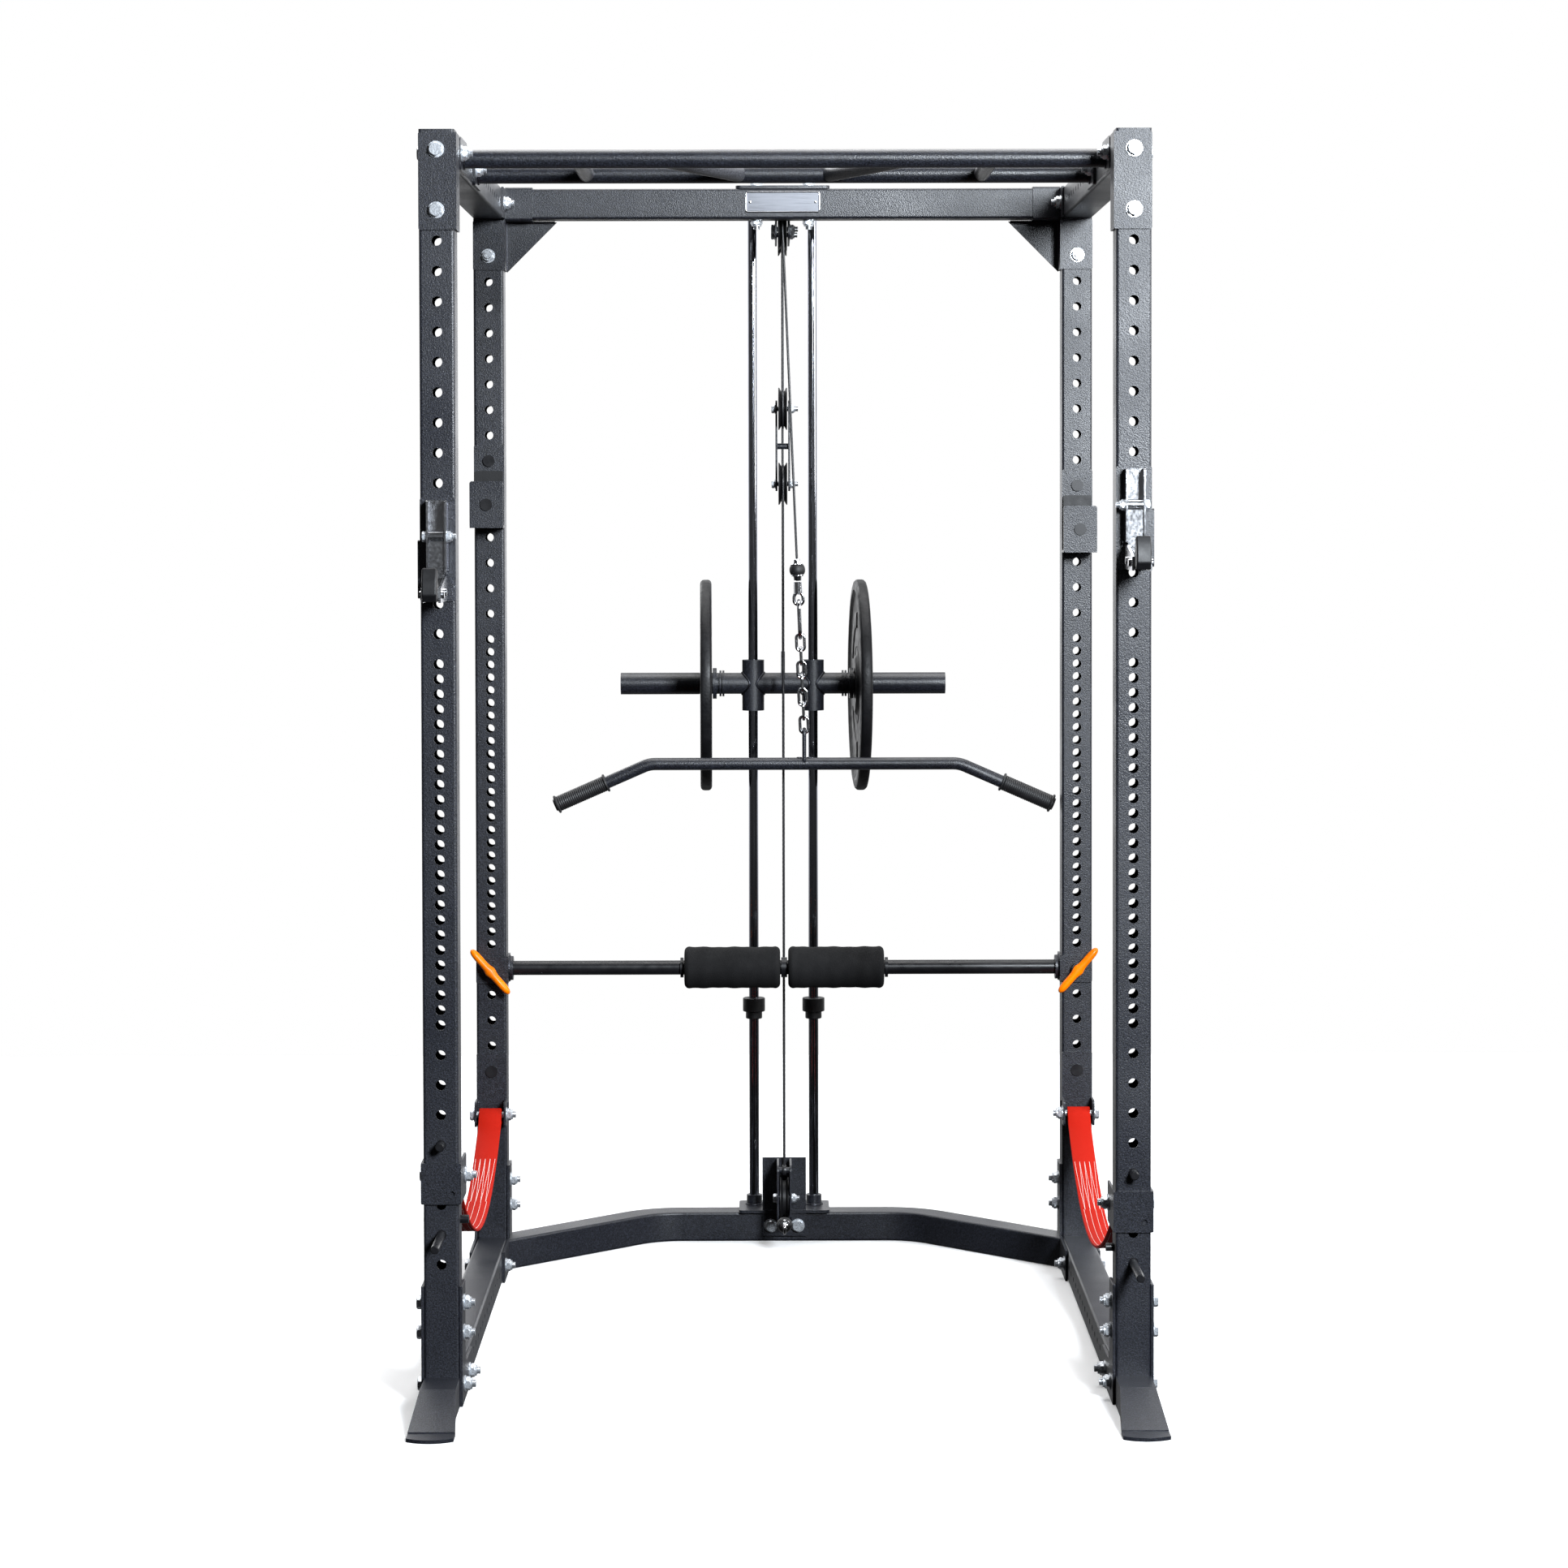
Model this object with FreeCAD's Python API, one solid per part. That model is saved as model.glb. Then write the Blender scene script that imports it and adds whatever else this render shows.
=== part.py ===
# Power cage with a plate-loaded pulldown tower behind it, in millimetres.
# X runs from side to side, Y from the front of the cage to its back, and Z up from the floor.
# Shapes are drawn with Y = 0 midway through the front uprights and X = 0 on the centre plane,
# then moved along Y so that the middle of the whole footprint is the origin.
import FreeCAD, Part
import math
import os

V = FreeCAD.Vector
X_AXIS, Y_AXIS, Z_AXIS = V(1, 0, 0), V(0, 1, 0), V(0, 0, 1)
SIDES = (-1, 1)

# Steel frame
TUBE = 60.0
HALF = TUBE / 2
WALL = 3.0
CORNER = 5.0
PLATE = 4.0
SPAN = 1170.0
DEPTH = 1120.0
UPRIGHT_TOP = 2153.0
CAP = 3.0
SIDE = SPAN / 2
INNER = SIDE - HALF
OUTER = SIDE + HALF
BEAM_Z = UPRIGHT_TOP - HALF
GUSSET = 5.0

# Rows of holes in the uprights and in the side beams
HOLE_R = 8.5
NARROW_PITCH = 25.4
WIDE_PITCH = 50.8
NARROW_TOP = 1258.0
NARROW_STEPS = 24
UPPER_HOLES = 14
LOWER_HOLES = 8
BEAM_HOLE_R = 6.0
BEAM_HOLE_START = 55.4
BEAM_HOLES = 21
NARROW_BOTTOM = NARROW_TOP - NARROW_STEPS * NARROW_PITCH

# Fasteners: shank radius, drilled radius, width across flats, head, nut, washer radius and thickness
M12 = {"shank": 6.0, "hole": 6.5, "flats": 21.0, "head": 8.0, "nut": 11.0, "washer": 14.0, "thick": 2.0}
M10 = {"shank": 5.0, "hole": 5.2, "flats": 16.0, "head": 6.4, "nut": 8.5, "washer": 10.0, "thick": 1.6}
THREAD_TIP = 6.0

# Pull-up bars and grips
BAR_R = 16.0
FRONT_BAR = (106.2, 2118.0)
REAR_BAR = (411.0, 2119.0)
GRIP_R = 14.0
BAR_PLATE_HALF = 66.0

# Rear floor beam, bowed back to carry the tower
BOW_START_Y = 1108.0
BOW_KNEE = (270.0, 1370.0)
BOW_BEND_R = 150.0

# Attachments: heights of the upright holes that they hang from
HOOK_TOP = {-1: NARROW_TOP + 280.0, 1: NARROW_TOP + 330.8}
CUP_PIN = {-1: NARROW_TOP + 7 * WIDE_PITCH, 1: NARROW_TOP + 6 * WIDE_PITCH}
STRAP_BOLT_Y = 55.0
STRAP_BOLT_Z = {-1: 380.0, 1: 329.0}
STRAP_REAR = (1058.0, 313.0)
STRAP_LENGTH = 1070.0
STRAP_WIDTH = 45.0
STRAP_THICK = 5.0
SLEEVE_HOLE_R = 4.5
LEG_BAR_Z = NARROW_BOTTOM - WIDE_PITCH
LEG_BAR_R = 14.3

# Tower, cable and pulleys
TOWER_Y = 1402.0
ROD_X = 62.0
ROD_R = 10.0
RUNNING = 0.05
PULLEY_R = 43.0
GROOVE_R = 36.0
PULLEY_HALF = 9.0
CABLE_R = 2.5
WRAP_R = 38.8
FRONT_PULLEY = (1208.0, 2081.0)
REAR_PULLEY = (TOWER_Y - WRAP_R, 2081.0)
BLOCK_Y = FRONT_PULLEY[0] + 2 * WRAP_R
BLOCK_UPPER = (BLOCK_Y, 1721.0)
BLOCK_LOWER = (BLOCK_Y, 1568.0)
LOW_PULLEY = (BLOCK_Y, 100.0)
CHEEK = (11.0, 15.0)
ANCHOR = (BLOCK_Y - WRAP_R, 165.0)

# Weight carriage and plates
CARRIAGE_Z = 1154.0
HORN_R = {-1: 22.5, 1: 22.2}
SEAT_R = 21.9
HORN_WALL = 4.0
HORN_END = 337.0
DISC_R = 219.0
DISC_THICK = 24.0
DISC_INNER = 148.0
DISC_HOLE_R = 25.4
DISC_DROP = DISC_HOLE_R - SEAT_R - 0.2
DISC_YAW = {-1: 1.0, 1: 2.5}

# Pulldown bar and the line that it hangs on, which leans sideways from the front pulley
LEAN = math.radians(2.36)
LINE_Y = FRONT_PULLEY[0] - WRAP_R
BALL_R = 16.0
BALL_AT = 687.7
LAT_R = 12.5
LAT_BEND_R = 60.0
LAT_HALF_STRAIGHT = 313.0
LAT_HALF = 503.0
LAT_Z = 1003.0
LAT_END_Z = 920.0

# The footprint runs from the tip of the front feet to the back of the weight plates
FOOT_REACH = 271.0
FOOT_SHOULDER = (-110.0, 50.0)
FOOT_TOE = (-227.0, 8.0)
FOOT_HALF = (30.0, 39.0)
FOOT_SHEET = 4.0
TAB_EDGE = -258.0
MIDDLE_Y = (TOWER_Y + DISC_R - FOOT_REACH) / 2


# ---- drawing helpers ----

def box(x, y, z):
    """A block between two values on each axis, given in either order."""
    spans = [sorted(pair) for pair in (x, y, z)]
    size = [high - low for low, high in spans]
    return Part.makeBox(*size, V(*[low for low, high in spans]))


def rounded(block, axis, radius):
    """The block with its edges along one axis rounded."""
    edges = [e for e in block.Edges if abs(e.tangentAt(e.FirstParameter).dot(axis)) > 0.99]
    return block.makeFillet(radius, edges)


def square_tube(x, y, z, axis):
    """A square tube with rounded corners, open at both ends along the axis."""
    spans = [sorted(pair) for pair in (x, y, z)]
    cuts = []
    for (low, high), part in zip(spans, axis):
        grow = 1.0 if part else -WALL
        cuts.append((low - grow, high + grow))
    outer = rounded(box(*spans), axis, CORNER)
    return outer.cut(rounded(box(*cuts), axis, CORNER - WALL))


def rod(start, end, radius):
    start, end = V(*start), V(*end)
    return Part.makeCylinder(radius, (end - start).Length, start, end - start)


def ring(start, end, outer, inner):
    return rod(start, end, outer).cut(rod(start, end, inner))


def rod_x(x0, x1, centre, radius):
    """A rod along X through a point given as (y, z)."""
    return rod((x0, *centre), (x1, *centre), radius)


def ring_x(x0, x1, centre, outer, inner):
    return rod_x(x0, x1, centre, outer).cut(rod_x(x0, x1, centre, inner))


def rod_y(y0, y1, centre, radius):
    """A rod along Y through a point given as (x, z)."""
    return rod((centre[0], y0, centre[1]), (centre[0], y1, centre[1]), radius)


def slab_x(x, points):
    """A plate between two X values with a (y, z) outline."""
    corners = [V(x[0], *point) for point in points]
    face = Part.Face(Part.makePolygon(corners + corners[:1]))
    return face.extrude(V(x[1] - x[0], 0, 0))


def slab_y(y, points):
    """A plate between two Y values with an (x, z) outline."""
    corners = [V(px, y[0], pz) for px, pz in points]
    face = Part.Face(Part.makePolygon(corners + corners[:1]))
    return face.extrude(V(0, y[1] - y[0], 0))


def fuse(shapes):
    shapes = list(shapes)
    return shapes[0].fuse(shapes[1:]).removeSplitter()


def pair(build):
    """The same solid built for both sides of the cage."""
    return [build(side) for side in SIDES]


def placed(shape, origin, x_dir, z_dir):
    """A copy of a shape drawn at the origin, with its own X and Z turned to two directions."""
    y_dir = z_dir.cross(x_dir)
    columns = zip(x_dir, y_dir, z_dir, origin)
    rows = [value for row in columns for value in row]
    moved = shape.copy()
    moved.transformShape(FreeCAD.Matrix(*rows, 0, 0, 0, 1))
    return moved


def bent_path(points, radius):
    """A wire of straight runs through the points, with an arc of one radius at each corner."""
    points = [V(*p) for p in points]
    edges, start = [], points[0]
    for before, corner, after in zip(points, points[1:], points[2:]):
        into = (corner - before).normalize()
        out = (after - corner).normalize()
        turn = into.getAngle(out)
        reach = radius * math.tan(turn / 2)
        inward = (out - into).normalize()
        begin, end = corner - into * reach, corner + out * reach
        middle = corner + inward * (radius / math.cos(turn / 2) - radius)
        edges.append(Part.LineSegment(start, begin).toShape())
        edges.append(Part.Arc(begin, middle, end).toShape())
        start = end
    edges.append(Part.LineSegment(start, points[-1]).toShape())
    return Part.Wire(edges)


def sweep(path, profile):
    return path.makePipeShell([profile], True, False)


def round_sweep(path, radius):
    """A round bar along a path."""
    edge = path.Edges[0]
    start = edge.valueAt(edge.FirstParameter)
    along = edge.tangentAt(edge.FirstParameter)
    return sweep(path, Part.Wire(Part.makeCircle(radius, start, along)))


def stadium_link(centre, straight, bend_r, wire_r, around):
    """A closed link of round wire, upright along Z; its plane holds Z and the given direction."""
    centre, across = V(*centre), V(*around) * bend_r
    top, bottom = centre + Z_AXIS * straight, centre - Z_AXIS * straight
    edges = [
        Part.LineSegment(bottom - across, top - across).toShape(),
        Part.Arc(top - across, top + Z_AXIS * bend_r, top + across).toShape(),
        Part.LineSegment(top + across, bottom + across).toShape(),
        Part.Arc(bottom + across, bottom - Z_AXIS * bend_r, bottom - across).toShape(),
    ]
    return round_sweep(Part.Wire(edges), wire_r)


# ---- fasteners ----

def hexagon(flats, low, high):
    """A hexagonal prism on the Z axis with its corners chamfered at both ends."""
    radius = flats / math.sqrt(3)
    angles = [math.radians(60 * i) for i in range(7)]
    outline = Part.makePolygon([V(radius * math.cos(a), radius * math.sin(a), low) for a in angles])
    prism = Part.Face(outline).extrude(V(0, 0, high - low))
    turned = Part.makeCylinder(radius, high - low, V(0, 0, low))
    return prism.common(turned.makeChamfer(radius - flats / 2 + 0.4, turned.Edges))


def bolt_shape(size, grip):
    """A hex bolt whose head bears on a washer at Z = 0 and whose shank runs up through the grip."""
    thick = size["thick"]
    end = grip + thick + size["nut"] + THREAD_TIP
    head = hexagon(size["flats"], -thick - size["head"], -thick)
    return head.fuse(Part.makeCylinder(size["shank"], end + thick, V(0, 0, -thick)))


def nut_shapes(size, grip):
    """Both washers and the lock nut of one bolt."""
    bore = size["shank"] + RUNNING
    thick = size["thick"]
    base = grip + thick
    washers = [ring((0, 0, low), (0, 0, low + thick), size["washer"], bore) for low in (-thick, grip)]
    collar_r = size["flats"] / 2 - 1.0
    body = hexagon(size["flats"], base, base + size["nut"] * 0.75)
    collar = rod((0, 0, base), (0, 0, base + size["nut"]), collar_r)
    nut = body.fuse(collar).cut(rod((0, 0, base - 1), (0, 0, base + size["nut"] + 1), bore))
    return [*washers, nut]


def fastener_list():
    """Every bolt as (size, point under the head, point under the nut)."""
    bolts = []
    for side in SIDES:
        x = side * SIDE
        for z in (2020.0, 2121.6):
            bolts.append((M12, (x, -HALF - PLATE, z), (x, HALF, z)))
        bolts.append((M12, (x, DEPTH + HALF, 2020.0), (x, DEPTH - HALF - PLATE, 2020.0)))
        for y in (BEAM_HOLE_START + WIDE_PITCH * step for step in (0, 2, 6, 8)):
            bolts.append((M12, (side * OUTER, y, BEAM_Z), (side * (INNER - GUSSET), y, BEAM_Z)))
        y = BEAM_HOLE_START + WIDE_PITCH * 20
        bolts.append((M12, (side * OUTER, y, BEAM_Z), (side * (INNER - PLATE), y, BEAM_Z)))
        front = [(0, 172), (0, 121), (12, 30), (BEAM_HOLE_START + WIDE_PITCH, 30)]
        rear = [(DEPTH, 172), (DEPTH, 121), (BEAM_HOLE_START + WIDE_PITCH * 18, 30)]
        for y, z in front + rear:
            bolts.append((M12, (side * (OUTER + GUSSET), y, z), (side * (INNER - GUSSET), y, z)))
        z = STRAP_BOLT_Z[side]
        outer, inner = side * (OUTER + PLATE), side * (INNER - PLATE)
        bolts.append((M12, (outer, STRAP_BOLT_Y, z), (inner, STRAP_BOLT_Y, z)))
        bolts.append((M12, (x + side * 31, *STRAP_REAR), (x - side * 31, *STRAP_REAR)))
        bolts.append((M12, (side * 52, DEPTH, UPRIGHT_TOP + 6), (side * 52, DEPTH, UPRIGHT_TOP - TUBE)))
        bolts.append((M12, (side * 28, 1334.0, 34.0), (side * 28, BOW_KNEE[1] + HALF, 34.0)))
        pivot = (-54.0, HOOK_TOP[side] - 65)
        bolts.append((M10, (x + side * 16.5, *pivot), (x - side * 16.5, *pivot)))
    for centre in (FRONT_PULLEY, REAR_PULLEY, BLOCK_UPPER, BLOCK_LOWER, LOW_PULLEY):
        bolts.append((M10, (-CHEEK[1], *centre), (CHEEK[1], *centre)))
    return bolts


FASTENERS = fastener_list()


def fastener_solids():
    """All bolts, and all their washers and nuts."""
    bolts, nuts = [], []
    for size, start, end in FASTENERS:
        start, end = V(*start), V(*end)
        grip = (end - start).Length
        along = (end - start).normalize()
        across = X_AXIS if abs(along.z) > 0.5 else Z_AXIS
        bolts.append(placed(bolt_shape(size, grip), start, across, along))
        nuts += [placed(piece, start, across, along) for piece in nut_shapes(size, grip)]
    return bolts, nuts


def drilled(shape):
    """The shape with a clearance hole for every bolt that passes through it."""
    tools = []
    for size, start, end in FASTENERS:
        along = (V(*end) - V(*start)).normalize()
        tool = rod(V(*start) - along, V(*end) + along, size["hole"])
        if tool.BoundBox.intersect(shape.BoundBox):
            tools.append(tool)
    return shape.cut(tools) if tools else shape


# ---- frame ----

def hole_heights():
    """Heights of the holes in each upright: close together in the middle, wide apart elsewhere."""
    heights = [NARROW_TOP - NARROW_PITCH * step for step in range(NARROW_STEPS + 1)]
    heights += [NARROW_TOP + WIDE_PITCH * (step + 1) for step in range(UPPER_HOLES)]
    heights += [NARROW_BOTTOM - WIDE_PITCH * (step + 1) for step in range(LOWER_HOLES)]
    return heights


def side_pin_z(side):
    """Height of the pin that crosses a front upright below the strap sleeve."""
    return STRAP_BOLT_Z[side] - 66.0


def upright(side, y, front):
    """One upright with its rows of holes through the front and back walls."""
    x = side * SIDE
    tube = square_tube((x - HALF, x + HALF), (y - HALF, y + HALF), (0, UPRIGHT_TOP), Z_AXIS)
    tools = [rod_y(y - TUBE, y + TUBE, (x, z), HOLE_R) for z in hole_heights()]
    if front:
        tools.append(rod_x(x - TUBE, x + TUBE, (y, side_pin_z(side)), 7.1))
    return tube.cut(tools)


def side_beam(side, low):
    """A beam between the front and rear uprights, with a row of holes through its sides."""
    x = side * SIDE
    tube = square_tube((x - HALF, x + HALF), (HALF, DEPTH - HALF), (low, low + TUBE), Y_AXIS)
    centres = [(BEAM_HOLE_START + WIDE_PITCH * step, low + HALF) for step in range(BEAM_HOLES)]
    return tube.cut([rod_x(x - TUBE, x + TUBE, centre, BEAM_HOLE_R) for centre in centres])


def caps():
    solids = []
    for side in SIDES:
        for y in (0.0, DEPTH):
            x = side * SIDE
            block = box((x - HALF, x + HALF), (y - HALF, y + HALF), (UPRIGHT_TOP, UPRIGHT_TOP + CAP))
            solids.append(rounded(block, Z_AXIS, CORNER))
    return solids


def rear_floor_beam():
    """The bowed beam on the floor, with an end flange against each rear upright."""
    lead = BOW_START_Y - (BOW_KNEE[1] - BOW_START_Y) * 50 / (INNER - PLATE - BOW_KNEE[0])
    ends = [(side * (INNER - PLATE + 50), lead, HALF) for side in SIDES]
    knees = [(side * BOW_KNEE[0], BOW_KNEE[1], HALF) for side in SIDES]
    path = bent_path([ends[0], knees[0], knees[1], ends[1]], BOW_BEND_R)
    start = path.Edges[0].valueAt(path.Edges[0].FirstParameter)
    along = path.Edges[0].tangentAt(path.Edges[0].FirstParameter)
    sections = []
    for half, corner in ((HALF, CORNER), (HALF - WALL, CORNER - WALL)):
        block = rounded(box((-half, half), (-half, half), (0, 1)), Z_AXIS, corner)
        base = min(block.Faces, key=lambda face: face.CenterOfMass.z)
        wire = placed(base.OuterWire, start, along.cross(Z_AXIS), along)
        sections.append(sweep(path, wire))
    tube = sections[0].cut(sections[1])
    reach = (INNER - GUSSET, INNER + 100)
    trims = [box((side * reach[0], side * reach[1]), (900, 1300), (-10, 100)) for side in SIDES]
    outline = [(945, 0), (945, 60), (1086, 60), (1090, 205), (1150, 205), (1150, 0)]
    flanges = pair(lambda side: slab_x((side * (INNER - GUSSET), side * INNER), outline))
    return fuse([tube.cut(trims), *flanges])


def front_top_bracket(side):
    """An angle plate on the front and inner faces of a front upright."""
    front = box((side * (INNER - PLATE), side * OUTER), (-HALF - PLATE, -HALF), (1987, 2150))
    inner = box((side * (INNER - PLATE), side * INNER), (-HALF - PLATE, HALF), (1987, 2150))
    return fuse([rounded(front, Y_AXIS, 3), rounded(inner, X_AXIS, 3)])


def rear_corner_bracket(side):
    """Plates around a rear upright, a sleeve for the top crossbeam, and a gusset under it."""
    edge = (side * (INNER - PLATE), side * INNER)
    back, rear = DEPTH - HALF, DEPTH + HALF
    front = box((side * (INNER - PLATE), side * OUTER), (back - PLATE, back), (1992, 2090))
    flange = box(edge, (back - PLATE, rear), (1992, UPRIGHT_TOP))
    wing = box(edge, (1040, back), (UPRIGHT_TOP - TUBE, UPRIGHT_TOP))
    span = (side * 497, side * (INNER - PLATE))
    sleeve = box(span, (DEPTH - 33, DEPTH + 33), (BEAM_Z - 33, BEAM_Z + 33))
    bore = box((side * 400, side * 700), (DEPTH - 30.2, DEPTH + 30.2), (BEAM_Z - 30.2, BEAM_Z + 30.2))
    corner = side * (INNER - PLATE)
    gusset = slab_y((1135, 1141), [(corner, 1990), (corner, 2090), (side * 451, 2090)])
    body = fuse([rounded(front, Y_AXIS, 3), flange, wing, gusset])
    return fuse([body, rounded(sleeve, X_AXIS, CORNER).cut(bore)])


def base_gusset(side, inner, rear):
    """A plate that ties the foot of an upright to its floor beam."""
    outline = [(-30, 0), (-30, 205), (32, 205), (32, 80), (48, 62), (165, 58), (165, 0)]
    if rear:
        outline = [(DEPTH - y, z) for y, z in outline]
    near = side * (INNER - GUSSET if inner else OUTER)
    return slab_x((near, near + side * GUSSET), outline)


def front_foot(side):
    """A sheet-metal foot that slopes down in front of an upright to a rounded tab."""
    x = side * SIDE

    def section(y, half, low, high):
        corners = [(x - half, y, low), (x + half, y, low), (x + half, y, high), (x - half, y, high)]
        return Part.makePolygon([V(*c) for c in corners + corners[:1]])

    (shoulder, height), (toe, lip) = FOOT_SHOULDER, FOOT_TOE
    half, wide = FOOT_HALF
    top = box((x - half, x + half), (-HALF, shoulder), (0, height))
    slope = Part.makeLoft([section(shoulder, half, 0, height), section(toe, wide, 0, lip)], True, True)
    within, below = half - FOOT_SHEET, height - FOOT_SHEET
    hollow = box((x - within, x + within), (-HALF - PLATE, shoulder - 1), (-1, below))
    dip = Part.makeLoft([section(shoulder, within, -1, below),
                         section(toe, wide - FOOT_SHEET, -1, lip - FOOT_SHEET)], True, True)
    left, right, back = x - wide, x + wide, toe + 5
    tip = Part.Arc(V(left, TAB_EDGE, 0), V(x, -FOOT_REACH, 0), V(right, TAB_EDGE, 0)).toShape()
    corners = [(right, TAB_EDGE), (right, back), (left, back), (left, TAB_EDGE)]
    rest = Part.makePolygon([V(*corner, 0) for corner in corners])
    tab = Part.Face(Part.Wire([tip, *rest.Edges])).extrude(V(0, 0, 6))
    return fuse([fuse([top, slope]).cut([hollow, dip]), tab])


def pull_up_bar(centre):
    """A bar across the cage with a bolted plate at each end."""
    y, z = centre
    end = INNER - GUSSET
    tube = ring_x(-end, end, centre, BAR_R, BAR_R - WALL)
    plates = []
    for side in SIDES:
        plate = box((side * end, side * INNER), (y - BAR_PLATE_HALF, y + BAR_PLATE_HALF), (2095, 2151))
        plates.append(rounded(plate, X_AXIS, 8))
    return fuse([tube, *plates])


def pull_up_grips():
    """Two straight and two angled grips between the pull-up bars."""
    bars = [rod_x(-SIDE, SIDE, centre, BAR_R) for centre in (FRONT_BAR, REAR_BAR)]
    grips = []
    for side in SIDES:
        for front_x, rear_x in ((355, 355), (216, 78)):
            grip = rod((side * front_x, *FRONT_BAR), (side * rear_x, *REAR_BAR), GRIP_R)
            grips.append(grip.cut(bars))
    return grips


# ---- attachments on the uprights ----

def hook_mount(side):
    """A plate on the front of an upright with two pins and a wrap around the outer face."""
    x, top = side * SIDE, HOOK_TOP[side]
    plate = box((x - HALF, x + HALF), (-HALF - PLATE, -HALF), (top - 174, top))
    pins = [rod_y(-HALF - PLATE, 20, (x, z), 8) for z in (top - 26, top - 127.6)]
    wrap = box((side * OUTER, side * (OUTER + PLATE)), (-HALF - PLATE, 24), (top - 169, top - 71))
    return fuse([rounded(plate, Y_AXIS, 4), *pins, rounded(wrap, X_AXIS, 5)])


def hook_channel(side):
    """The channel welded to a hook mount, which holds the hook's pivot bolt."""
    x, top = side * SIDE, HOOK_TOP[side]
    front, back = -66, -HALF - PLATE
    span = (top - 128, top - 4)
    web = box((x - 16.5, x + 16.5), (back - 3, back), span)
    flanges = [box((x + s * 13.5, x + s * 16.5), (front, back), span) for s in SIDES]
    return fuse([web, *[rounded(flange, X_AXIS, 4) for flange in flanges]])


def hook_bolts(side, radius, half):
    """The two cross bolts through a hook's cheeks and pad."""
    x, top = side * SIDE, HOOK_TOP[side]
    return [rod_x(x - half, x + half, (y, top + z), radius) for y, z in ((-95, -157), (-140, -160))]


def hook_arm(side):
    """The arm that swings in the channel, with two cheeks that grip the pad."""
    x, top = side * SIDE, HOOK_TOP[side]
    pivot = (-54, top - 65)
    bar = box((x - 12.9, x + 12.9), (-60, -48), (top - 150, top - 65))
    knuckle = rod_x(x - 12.9, x + 12.9, pivot, 10)
    outline = [(-46, -131), (-46, -173), (-165, -173), (-165, -150), (-80, -132)]
    outline = [(y, top + z) for y, z in outline]
    cheeks = [slab_x((x + s * 12.5, x + s * 16.5), outline) for s in SIDES]
    arm = fuse([bar, knuckle, *cheeks]).cut(rod_x(x - 20, x + 20, pivot, M10["shank"] + RUNNING))
    heads = [rod_x(x + s * 16.5, x + s * 20.5, (y, top + z), 6.5)
             for s in SIDES for y, z in ((-95, -157), (-140, -160))]
    return fuse([arm, *hook_bolts(side, 4, 16.5), *heads])


def hook_pad(side):
    """The J-shaped plastic pad that a bar rests in."""
    x, top = side * SIDE, HOOK_TOP[side]
    outline = [(-62, -171), (-192, -171), (-200, -160), (-198, -135), (-188, -115), (-176, -118),
               (-170, -138), (-150, -146), (-85, -140), (-62, -134)]
    pad = slab_x((x - 12.4, x + 12.4), [(y, top + z) for y, z in outline])
    return pad.cut(hook_bolts(side, 4.05, 20))


def j_cup(side):
    """A bar cup on the front of a rear upright, with a peg into the upright behind it."""
    x, pin = side * SIDE, CUP_PIN[side]
    face = DEPTH - HALF
    back = box((x - HALF, x + HALF), (face - PLATE, face), (pin - 133, pin + 32))
    shelf = box((x - 33, x + 33), (1013, face - PLATE + 1), (pin - 133, pin - 128))
    lip = box((x - 33, x + 33), (1011, 1016), (pin - 133, pin - 41))
    peg = rod_y(face - 1, face + 20, (x, pin - 101.6), 8)
    cup = fuse([rounded(back, Y_AXIS, 5), shelf, rounded(lip, Y_AXIS, 5), peg])
    return cup.cut(rod_y(face - 10, face + 5, (x, pin), 8.05))


def j_cup_liner(side):
    """The plastic lining of a bar cup."""
    x, pin = side * SIDE, CUP_PIN[side]
    floor = box((x - 28, x + 28), (1016, 1086), (pin - 128, pin - 120))
    lip = box((x - 28, x + 28), (1016, 1024), (pin - 128, pin - 45))
    back = box((x - 28, x + 28), (1078, 1086), (pin - 128, pin - 20))
    return fuse([floor, rounded(lip, Y_AXIS, 4), rounded(back, Y_AXIS, 4)])


def strap_bracket(side):
    """The sleeve on a front upright and the ears on a rear upright that hold one strap."""
    x, z = side * SIDE, STRAP_BOLT_Z[side]
    plate = box((x - HALF - PLATE, x + HALF + PLATE), (-HALF - PLATE, -HALF), (z - 35, z + 35))
    sides = [box((x + s * HALF, x + s * (HALF + PLATE)), (-HALF - PLATE, 75), (z - 35, z + 35)) for s in SIDES]
    sleeve = fuse([rounded(plate, Y_AXIS, 3), *[rounded(ear, X_AXIS, 6) for ear in sides]])
    sleeve = sleeve.cut(rod_y(-HALF - PLATE - 1, -HALF + 1, (x + 19, z - 17), SLEEVE_HOLE_R))
    face = DEPTH - HALF
    back = rounded(box((x - HALF, x + HALF), (face - PLATE, face), (290, 431)), Y_AXIS, 4)
    ears = [rounded(box((x + s * 27, x + s * 31), (1041, face), (290, 340)), X_AXIS, 6) for s in SIDES]
    peg = rod_y(face - 1, face + 20, (x, NARROW_BOTTOM - 5 * WIDE_PITCH), 8)
    return [sleeve, fuse([back, *ears, peg])]


def strap_curve(side):
    """Height of a hanging strap at any Y: a parabola of fixed length between its two bolts."""
    y0, z0 = STRAP_BOLT_Y, STRAP_BOLT_Z[side]
    y1, z1 = STRAP_REAR
    span, rise = y1 - y0, z1 - z0
    sag = math.sqrt(3 * span * (STRAP_LENGTH - span - rise ** 2 / (2 * span)) / 8)

    def height(y):
        along = (y - y0) / span
        return z0 + rise * along - 4 * sag * along * (1 - along)

    return height


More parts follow.
